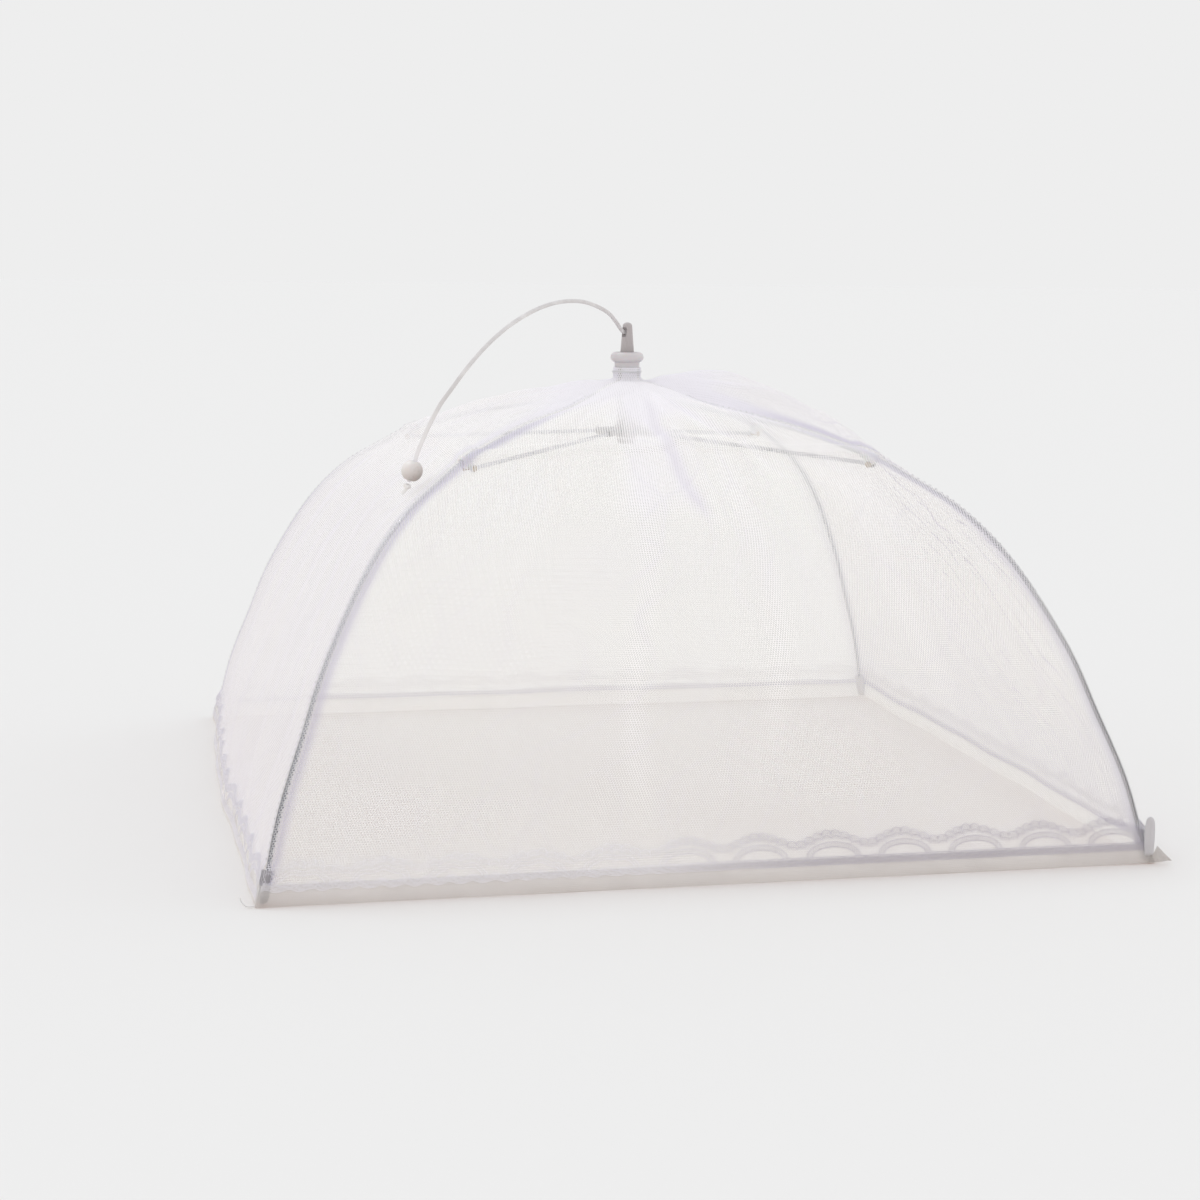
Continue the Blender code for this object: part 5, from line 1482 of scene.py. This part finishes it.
def cloth_from_grid(name, points, marks=None):
    """A grid primitive laid on the given places, with its UV map in metres."""
    rows, columns = points.shape[:2]
    deselect()
    bpy.ops.mesh.primitive_grid_add(x_subdivisions=columns - 1, y_subdivisions=rows - 1, size=1)
    piece = bpy.context.object
    flat = np.array([v.co for v in piece.data.vertices])
    column = np.rint((flat[:, 0] + 0.5) * (columns - 1)).astype(int)
    row = np.rint((0.5 - flat[:, 1]) * (rows - 1)).astype(int)
    piece.data.vertices.foreach_set("co", points[row, column].astype(np.float32).ravel())
    steps = np.linalg.norm(np.diff(points, axis=1), axis=2)
    across = np.concatenate([np.zeros((rows, 1)), np.cumsum(steps, 1)], 1)
    across -= across[:, [columns // 2]]
    down = np.linalg.norm(np.diff(points[:, columns // 2], axis=0), axis=1)
    down = np.concatenate([[0], np.cumsum(down)])
    corner = np.array([loop.vertex_index for loop in piece.data.loops])
    uv = np.stack([across[row, column], -down[row]], -1)[corner]
    piece.data.uv_layers[0].data.foreach_set("uv", uv.astype(np.float32).ravel())
    if marks is not None:
        for k, label in enumerate(MARKS[:marks.shape[2]]):
            set_mark(piece, label, marks[row, column, k])
    piece.data.shade_smooth()
    piece.data.update()
    return piece


def face_outwards(piece):
    """Turns a sheet over if its faces look inwards."""
    face = piece.data.polygons[len(piece.data.polygons) // 2]
    if face.normal.dot(face.center - Vector((0, 0, PIVOT_HEIGHT / 4))) < 0:
        piece.data.flip_normals()
    return piece


# %% Net quarters
NECK_ROWS = 7
NET_STEP = 0.0020
NET_COLUMNS = 100
NECK_ALONG_TOP, NECK_ALONG_GAP = -0.008, 0.001
net_start = float(np.interp(NECK_FOOT_R, ARCH[:, 0], ARCH_ALONG))
down_arch = np.append(np.arange(net_start, NET_END, NET_STEP), NET_END)
arch_place, arch_way = over_rib(down_arch)
neck_heights = np.linspace(NECK_TOP_HEIGHT, NECK_TURN_HEIGHT, NECK_ROWS)
neck_place = np.stack([np.full(NECK_ROWS, NECK_R), neck_heights], -1)
net_place = np.concatenate([neck_place, arch_place])
net_way = np.concatenate([np.tile([0.0, -1.0], (NECK_ROWS, 1)), arch_way])
net_along = np.concatenate([np.linspace(NECK_ALONG_TOP, net_start - NECK_ALONG_GAP, NECK_ROWS), down_arch])
net_cloths = {}
for name, degrees in RIB_NAMES.items():
    grid = quarter_grid(degrees, net_place, net_way, net_along, NET_COLUMNS)
    cloth = face_outwards(cloth_from_grid("net", *grid))
    net_cloths[name] = finished(cloth, "net_cloth_" + name, net_finish, "rib_" + name, ["net_" + name])

# %% [markdown]
# ## The hem
#
# The net's lower edge is folded over twice into a firm band 8 mm high that stands on the table. It is a
# narrow grid between the net's end and the table, a little wavy, given its thickness by Solidify.

# %% Hem bands
HEM_ROWS = 7
HEM_TOP_PALE, HEM_LEFT_PALE, HEM_BEHIND_PALE = 0.42, 0.85, 0.7
AT_LEFT_X, BEHIND_Y = -0.198, -0.195
HEM_WAVES = ((9, 0.0004), (4, 0.0006), (17, 0.0002))
hem_along = NET_END + np.linspace(0, HEM_HEIGHT, HEM_ROWS)
hem_place, hem_ways = cloth_line(hem_along)
hems = {}
for name, degrees in RIB_NAMES.items():
    points, _ = quarter_grid(degrees, hem_place, hem_ways, hem_along, NET_COLUMNS)
    turn = np.linspace(0, math.tau, points.shape[1])
    across_waves = sum(depth * np.sin(count * turn) for count, depth in HEM_WAVES)
    waves = across_waves * np.sin(np.linspace(0, np.pi, HEM_ROWS))[:, None]
    outwards = points[..., :2] / np.linalg.norm(points[..., :2], axis=-1)[..., None]
    points[..., :2] += waves[..., None] * outwards
    band = face_outwards(cloth_from_grid("hem", points))
    solidify = band.modifiers.new("cloth", "SOLIDIFY")
    solidify.thickness = HEM_T
    solidify.offset = 0
    solidify.use_even_offset = True
    apply_modifiers(band)
    bpy.ops.object.shade_smooth_by_angle(angle=math.radians(50))
    # Painted light on the hem: inner faces fully pale, the outer face pale at the left and at the back, and
    # in front paler towards its top.
    light = []
    for face in band.data.polygons:
        inner = face.normal.xy.dot(face.center.xy) < 0
        at_left = face.center.x < AT_LEFT_X and abs(face.normal.x) > 0.7
        behind = face.center.y > BEHIND_Y
        in_front = HEM_TOP_PALE * face.center.z / HEM_HEIGHT
        outer = HEM_LEFT_PALE if at_left else HEM_BEHIND_PALE if behind else in_front
        light.append(1.0 if inner else outer)
    set_mark(band, "pale", light, "FACE")
    hems[name] = finished(band, "hem_band_" + name, hem_finish, "rib_" + name, ["hem_" + name])

# %% [markdown]
# ## The lace
#
# A strip of machine lace is sewn on just above the hem. Its pattern repeats every 34 mm: a tight band of
# threads at the foot, a half-moon opening with a double rim, and over it a scalloped border of small
# bumps, filled with fine upright threads. Each thread is a narrow ribbon drawn in the flat, in
# millimetres, and then laid on the canopy, because a picture of lace would have no real openings.

# %% Lace motif in the flat
MOTIFS_PER_HALF = 6
MOTIF_MM = 33.8
LACE_FOOT = 2.7
INNER_MOON, OUTER_MOON = (10.2, 4.6), (12.6, 6.8)
BUMPS, BUMP_RISE, INNER_BUMP_RISE, INNER_BUMP_DROP = 8, 1.7, 1.3, 2.3
HATCH_STEP, HATCH_DEPTH, RIM_GAP, HATCH_OVER = 0.95, 3.6, 0.4, 1.2
BORDER_LOW, BORDER_RISE, BORDER_POWER = 8.6, 5.0, 1.6
BAND_LINES, BAND_WAVE = (-0.4, 0.1, 0.6, 1.1, 1.6, 2.1, LACE_FOOT), 0.12
FIRM_WIDTH, BAND_WIDTH, BUMP_WIDTH, FINE_WIDTH, HATCH_WIDTH = 0.30, 0.26, 0.22, 0.18, 0.14
HATCH_LEAN = 0.15


def arc_line(centre, radii, start, end, steps):
    turns = [math.radians(start + (end - start) * i / steps) for i in range(steps + 1)]
    return [(centre[0] + radii[0] * math.cos(a), centre[1] + radii[1] * math.sin(a)) for a in turns]


def moon_height(x, radii):
    """Height of a half-moon's rim over the foot at x, and zero beside it."""
    share = (x - MOTIF_MM / 2) / radii[0]
    return radii[1] * math.sqrt(max(1 - share * share, 0))


def border_height(x):
    """Where the scalloped border runs: low between the half-moons and high over each."""
    return BORDER_LOW + BORDER_RISE * math.sin(math.pi * (x % MOTIF_MM) / MOTIF_MM) ** BORDER_POWER


def lace_threads():
    """The motif's threads, each as (points, width), in millimetres."""
    middle = (MOTIF_MM / 2, LACE_FOOT)
    threads = []
    for y in BAND_LINES:
        line = [(MOTIF_MM * i / 16, y + BAND_WAVE * math.sin(2.5 * i + 3 * y)) for i in range(17)]
        threads.append((line, BAND_WIDTH))
    threads.append((arc_line(middle, INNER_MOON, 0, 180, 20), FIRM_WIDTH))
    threads.append((arc_line(middle, OUTER_MOON, 0, 180, 20), FINE_WIDTH))
    bump = MOTIF_MM / BUMPS
    for i in range(BUMPS):
        x = (i + 0.5) * bump
        outer = arc_line((x, border_height(x)), (bump / 2, BUMP_RISE), -15, 195, 9)
        inner_centre = (x, border_height(x) - INNER_BUMP_DROP)
        threads.append((outer, BUMP_WIDTH))
        threads.append((arc_line(inner_centre, (bump / 2, INNER_BUMP_RISE), 0, 180, 7), FINE_WIDTH))
    for i in range(int(MOTIF_MM / HATCH_STEP)):
        x = (i + 0.5) * HATCH_STEP
        low = LACE_FOOT + moon_height(x, INNER_MOON)
        rim, top = LACE_FOOT + moon_height(x, OUTER_MOON) + RIM_GAP, border_height(x) + HATCH_OVER
        lean = HATCH_LEAN * math.sin(i)
        threads.append(([(x, low), (x + lean, min(rim, top))], HATCH_WIDTH))
        if top - HATCH_DEPTH > rim:
            threads.append(([(x, top - HATCH_DEPTH), (x + lean, top)], HATCH_WIDTH))
    return threads


# %% Lace threads as ribbons
def ribbons(threads):
    """Flat ribbons round the threads, as places and faces."""
    places, faces = [], []
    for line, width in threads:
        line = np.array(line)
        way = np.gradient(line, axis=0) if len(line) > 2 else np.repeat([line[1] - line[0]], 2, 0)
        side = np.stack([-way[:, 1], way[:, 0]], -1)
        side *= width / 2 / np.linalg.norm(side, axis=1)[:, None]
        first = len(places)
        for left, right in zip(line + side, line - side):
            places += [left, right]
        faces += [(first + 2 * i, first + 2 * i + 1, first + 2 * i + 3, first + 2 * i + 2)
                  for i in range(len(line) - 1)]
    return np.array(places), faces


motif_places, motif_faces = ribbons(lace_threads())
print("lace motif:", len(motif_faces), "faces")

# %% Lace strips
LACE_T = 0.0001
LACE_SLUMP, SLUMP_SHARE, SLUMP_WAVE = 0.18, 0.4, 0.0006
LACE_LEFT_PALE, LACE_OTHER_PALE = 0.9, 0.45
IN_FRONT_Y, LEFT_X, PALE_LEFT_OF = -0.196, -0.19, (-0.06, 0.05)
LACE_OUT = 0.0009
LACE_DROPS = {"front": 0.0020, "right": 0.0, "back": 0.0, "left": 0.0055}
laces = {}
for name, degrees in RIB_NAMES.items():
    all_points, all_faces, all_uv = [], [], []
    for panel in half_panels(degrees):
        for i in range(MOTIFS_PER_HALF):
            u = np.clip((motif_places[:, 0] / MOTIF_MM + i) / MOTIFS_PER_HALF, 0.002, 1)
            rise = motif_places[:, 1] / 1000
            if (panel, name) == ("front", "front_left"):
                slumped = ease(1 - u, 0, SLUMP_SHARE)
                rise = rise * (1 - LACE_SLUMP * slumped) + SLUMP_WAVE * np.sin(130 * u) * slumped
            along = NET_END + LACE_DROPS[panel] - rise
            place, way = cloth_line(along)
            found, _ = canopy(panel, degrees, place, way, along, u, LACE_OUT)
            first = sum(len(p) for p in all_points)
            all_points.append(found)
            all_uv.append(motif_places / 1000 + np.array([i * MOTIF_MM / 1000, 0]))
            all_faces += [tuple(first + v for v in face) for face in motif_faces]
    lace = mesh_object("lace", np.concatenate(all_points), all_faces)
    layer = lace.data.uv_layers.new(name="UVMap")
    flat = np.concatenate(all_uv)
    corner = np.array([loop.vertex_index for loop in lace.data.loops])
    layer.data.foreach_set("uv", flat[corner].astype(np.float32).ravel())
    solidify = lace.modifiers.new("thread", "SOLIDIFY")
    solidify.thickness = LACE_T
    solidify.offset = 0
    apply_modifiers(lace)
    # Painted light on the lace: pale on the left and at the left of the front, less pale elsewhere.
    pale = []
    for vertex in lace.data.vertices:
        at_front = vertex.co.y < IN_FRONT_Y
        in_front = float(ease(-vertex.co.x, *PALE_LEFT_OF))
        elsewhere = LACE_LEFT_PALE if vertex.co.x < LEFT_X else LACE_OTHER_PALE
        pale.append(in_front if at_front else elsewhere)
    set_mark(lace, "pale", pale)
    laces[name] = finished(lace, "lace_strip_" + name, lace_finish, "rib_" + name, ["lace_" + name])

# %% [markdown]
# ## Stitches
#
# White thread shows as short stitches beside each rib and along the top of the hem. One stitch is a
# slim lozenge bent over the cloth; hundreds are laid by the same surface function, a few faces each.

# %% Helpers for stitches
STITCH_LENGTH, STITCH_R = 0.0020, 0.00022
STITCH_OUT = 0.0004


def stitch_shape(start, end, normal):
    """Eight faces round a short straight stitch."""
    way = (end - start) / np.linalg.norm(end - start)
    side = np.cross(way, normal)
    side /= np.linalg.norm(side)
    up = np.cross(side, way)
    middle = (start + end) / 2
    ring = [middle + STITCH_R * d for d in (side, up, -side, -up)]
    points = [start, *ring, end]
    faces = [(0, 1, 2), (0, 2, 3), (0, 3, 4), (0, 4, 1), (5, 2, 1), (5, 3, 2), (5, 4, 3), (5, 1, 4)]
    return points, faces


def stitch_row(panel, degrees, places):
    """Stitches from pairs of (along, u) on the canopy."""
    points, faces = [], []
    for (along_a, u_a), (along_b, u_b) in places:
        along, u = np.array([along_a, along_b]), np.array([u_a, u_b])
        place, way = over_rib(along)
        ends, _ = canopy(panel, degrees, place, way, along, u, STITCH_OUT)
        middle = math.radians(PANELS[panel])
        normal = np.array([-way[0, 1] * math.cos(middle), -way[0, 1] * math.sin(middle), way[0, 0]])
        shape, shape_faces = stitch_shape(ends[0], ends[1], normal)
        faces += [tuple(len(points) + v for v in face) for face in shape_faces]
        points += shape
    return points, faces


# %% Stitches beside the ribs and on the hem
STITCH_PITCH, HEM_STITCH_PITCH = 0.0034, 0.00272
SEAM_OFFSET, SEAM_START = 0.0018, 0.030
HEM_STITCH_DROP, HEM_STITCH_START, HEM_STITCH_STOP = 0.0006, 0.004, 0.002
seams = {}
for name, degrees in RIB_NAMES.items():
    points, faces = [], []
    for panel in half_panels(degrees):
        runs = []
        for along in np.arange(SEAM_START, NET_END - POCKET_LENGTH, STITCH_PITCH):
            u = SEAM_OFFSET * math.sqrt(2) / float(on_arch(along)[0])
            runs.append(((along, u), (along + STITCH_LENGTH, u)))
        half_side = COVER_SIDE / 2
        low = NET_END + HEM_STITCH_DROP
        for x in np.arange(HEM_STITCH_START, half_side - HEM_STITCH_STOP, HEM_STITCH_PITCH):
            runs.append(((low, x / half_side), (low, (x + STITCH_LENGTH) / half_side)))
        row_points, row_faces = stitch_row(panel, degrees, runs)
        faces += [tuple(len(points) + v for v in face) for face in row_faces]
        points += row_points
    row = mesh_object("stitches", points, faces)
    outward(row)
    row.data.uv_layers.new(name="UVMap")
    seams[name] = finished(row, "stitches_" + name, thread_finish, "rib_" + name)

# %% [markdown]
# ## Sleeves at the corners
#
# Each rib ends in a small sleeve of doubled net. It is a tube lofted round the end of the arch, slightly
# crumpled and closed at the foot. On the front right corner a loose loop of the hem's cloth stands up
# beside the sleeve, and a flat three-cornered tip of it lies on the table.

# %% Corner sleeves
SLEEVE_R, SLEEVE_WIDER, SLEEVE_PAST_TIP = 0.0021, 0.25, 0.0022
SLEEVE_SIDES, SLEEVE_RINGS = 20, 14
CLOSING_RINGS = {12: 0.8, 13: 0.35}
CRUMPLE, FINE_CRUMPLE = 0.10, 0.06
SLEEVE_LOW, SLEEVE_FLOOR = 0.0004, 0.0001
SLEEVE_PALE = {"front_right": 0.25, "back_right": 1.0, "back_left": 1.0}
PALE_BAND, PALE_BAND_HEIGHT, PALE_BAND_HALF = 0.75, 0.0055, 0.0022


def rib_frame(degrees):
    outwards = Vector((math.cos(math.radians(degrees)), math.sin(math.radians(degrees)), 0))
    return outwards, Vector((-outwards.y, outwards.x, 0))


for name, degrees in RIB_NAMES.items():
    outwards, side = rib_frame(degrees)
    stations = np.linspace(ARCH_LENGTH - POCKET_LENGTH, ARCH_LENGTH + SLEEVE_PAST_TIP, SLEEVE_RINGS)
    places, ways = arch_at(stations)
    grid = []
    for i, (place, way) in enumerate(zip(places, ways)):
        share = i / (SLEEVE_RINGS - 1)
        radius = SLEEVE_R * (1 + SLEEVE_WIDER - SLEEVE_WIDER * share) * CLOSING_RINGS.get(i, 1)
        upward = Vector((outwards.x * -way[1], outwards.y * -way[1], way[0]))
        centre = outwards * place[0]
        centre.z = max(place[1], SLEEVE_LOW + radius * 0.3)
        ring = []
        for k in range(SLEEVE_SIDES + 1):
            a = math.tau * k / SLEEVE_SIDES
            crumple = 1 + CRUMPLE * math.sin(3 * a + 5 * share + degrees)
            crumple += FINE_CRUMPLE * math.sin(7 * a - 9 * share)
            point = centre + (side * math.cos(a) + upward * math.sin(a)) * radius * crumple
            ring.append((point.x, point.y, max(point.z, SLEEVE_FLOOR)))
        grid.append(ring)
    pocket = cloth_from_grid("pocket", np.array(grid))
    outward(pocket, merge=0.00002)
    # Painted light: the front left sleeve gets a paler band a few millimetres up, the others one paleness
    # each.
    heights = np.array([vertex.co.z for vertex in pocket.data.vertices])
    pale_band = PALE_BAND * np.exp(-(((heights - PALE_BAND_HEIGHT) / PALE_BAND_HALF) ** 2))
    set_mark(pocket, "pale", pale_band if name == "front_left" else np.full(len(heights), SLEEVE_PALE[name]))
    finished(pocket, "corner_sleeve_" + name, pocket_finish, "rib_" + name, ["corner_pocket_" + name])

# %% [markdown]
# ## Loose ends of the hem
#
# Where the hem's cloth was folded over at the front right corner, a narrow loop of it stands up beside the
# rib, and a flat tip lies on the table. The loop is a flat strip lofted along a given line, as the
# pull strip is. At the front left corner an end of sewing thread was never cut off.

# %% Loop and tip at the front right corner
FRONT_RIGHT_CORNER = Vector((COVER_SIDE / 2, -COVER_SIDE / 2, 0))
LOOP_WIDTH, LOOP_T = 0.0028, 0.0005
LOOP_SHAPE = ((0.0002, 0.0036), (-0.0002, 0.0120), (0.0002, 0.0190), (0.0010, 0.0206), (0.0018, 0.0180),
              (0.0019, 0.0110), (0.0016, 0.0040))
TIP_SHAPE = ((0.0005, 0.0004), (0.0115, 0.0014), (0.0048, 0.0082))
BESIDE_CORNER = -0.0040
LOOP_PALE = 0.68
TIP_WAVE = 0.0006
to_side = Vector((level.x, level.y, 0))
loop_start = FRONT_RIGHT_CORNER + to_side * BESIDE_CORNER
loop_line = smooth_line([loop_start + to_side * r + Vector((0, 0, z)) for r, z in LOOP_SHAPE], 6)
loop = mesh_object("loop", *flat_strip(loop_line, LOOP_WIDTH, LOOP_T, Vector((0, 0, 1)).cross(to_side), 12))
outward(loop)
loop.data.uv_layers.new(name="UVMap")
loop.data.shade_smooth()
set_mark(loop, "pale", np.full(len(loop.data.vertices), LOOP_PALE))
finished(loop, "corner_loop_front_right", pocket_finish, "rib_front_right")

tip_corners = [loop_start + to_side * r + Vector((0, 0, z)) for r, z in TIP_SHAPE]
tip = mesh_object("tip", tip_corners, [(0, 1, 2)])
only(tip)
bpy.ops.object.mode_set(mode="EDIT")
bpy.ops.mesh.select_all(action="SELECT")
bpy.ops.mesh.subdivide(number_cuts=5)
bpy.ops.object.mode_set(mode="OBJECT")
to_back = Vector((-to_side.y, to_side.x, 0))
for vertex in tip.data.vertices:
    vertex.co += to_back * TIP_WAVE * math.sin(900 * vertex.co.x + 500 * vertex.co.z)
thicken = tip.modifiers.new("cloth", "SOLIDIFY")
thicken.thickness = LOOP_T
apply_modifiers(tip)
tip.data.uv_layers.new(name="UVMap")
finished(tip, "hem_tip_front_right", hem_finish, "rib_front_right")

# %% Loose thread at the front left corner
TAIL_SHAPE = ((0.0, 0.0012), (-0.0022, 0.0006), (-0.0040, 0.0010), (-0.0056, 0.0026), (-0.0062, 0.0045))
THREAD_R = 0.00025
front_left_corner = Vector((-COVER_SIDE / 2, -COVER_SIDE / 2, 0))
tail_points = smooth_line([front_left_corner + to_side * r + Vector((0, 0, z)) for r, z in TAIL_SHAPE], 5)
loose_thread = tube_curve("loose_thread", tail_points, THREAD_R, resolution=2)
finished(loose_thread, "loose_thread_front_left", thread_finish, "rib_front_left")

# %% [markdown]
# ## The thread round the neck
#
# The net is drawn in round the tube and tied with a few turns of thread. A helix is a curve with a round
# bevel; its turns lie a little unevenly, because they were wound by hand.

# %% Neck thread
NECK_TURNS, NECK_THREAD_R, POINTS_PER_TURN = 5, 0.00032, 28
UNEVEN_R, UNEVEN_RISE = 0.0001, 0.0002
neck_points = NECK_TURNS * POINTS_PER_TURN
thread_low, thread_high = (corner.z for corner in map(Vector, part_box("neck_thread")))
turns = []
for i in range(neck_points + 1):
    a = math.tau * i / POINTS_PER_TURN
    rise = thread_low + NECK_THREAD_R + (thread_high - thread_low - 2 * NECK_THREAD_R) * i / neck_points
    radius = NECK_R + NECK_THREAD_R + UNEVEN_R * math.sin(5 * a)
    turns.append((radius * math.cos(a), radius * math.sin(a), rise + UNEVEN_RISE * math.sin(2 * a)))
wraps = tube_curve("wraps", turns, NECK_THREAD_R, resolution=2)
finished(wraps, "neck_thread_wraps", thread_finish, "ferrule", ["neck_thread"])

# %% [markdown]
# ## The cloth's own meshes
#
# Each quarter of the net is a sheet stretched over its rib, with its hem, lace and stitches on it. When
# the ribs close, the real cloth is drawn in between them like an umbrella's and pressed flat against its
# rib. Here each of these pieces is only given a mesh of its own.

# %% Own meshes for the sheets
for name, degrees in RIB_NAMES.items():
    cloth = net_cloths[name]
    places = np.array([entry.uv for entry in cloth.data.uv_layers[0].data])
    width, length = (float(x) for x in places.max(0) - places.min(0))
    a = math.radians(degrees)
    for piece in (cloth, hems[name], laces[name], seams[name]):
        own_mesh(piece)
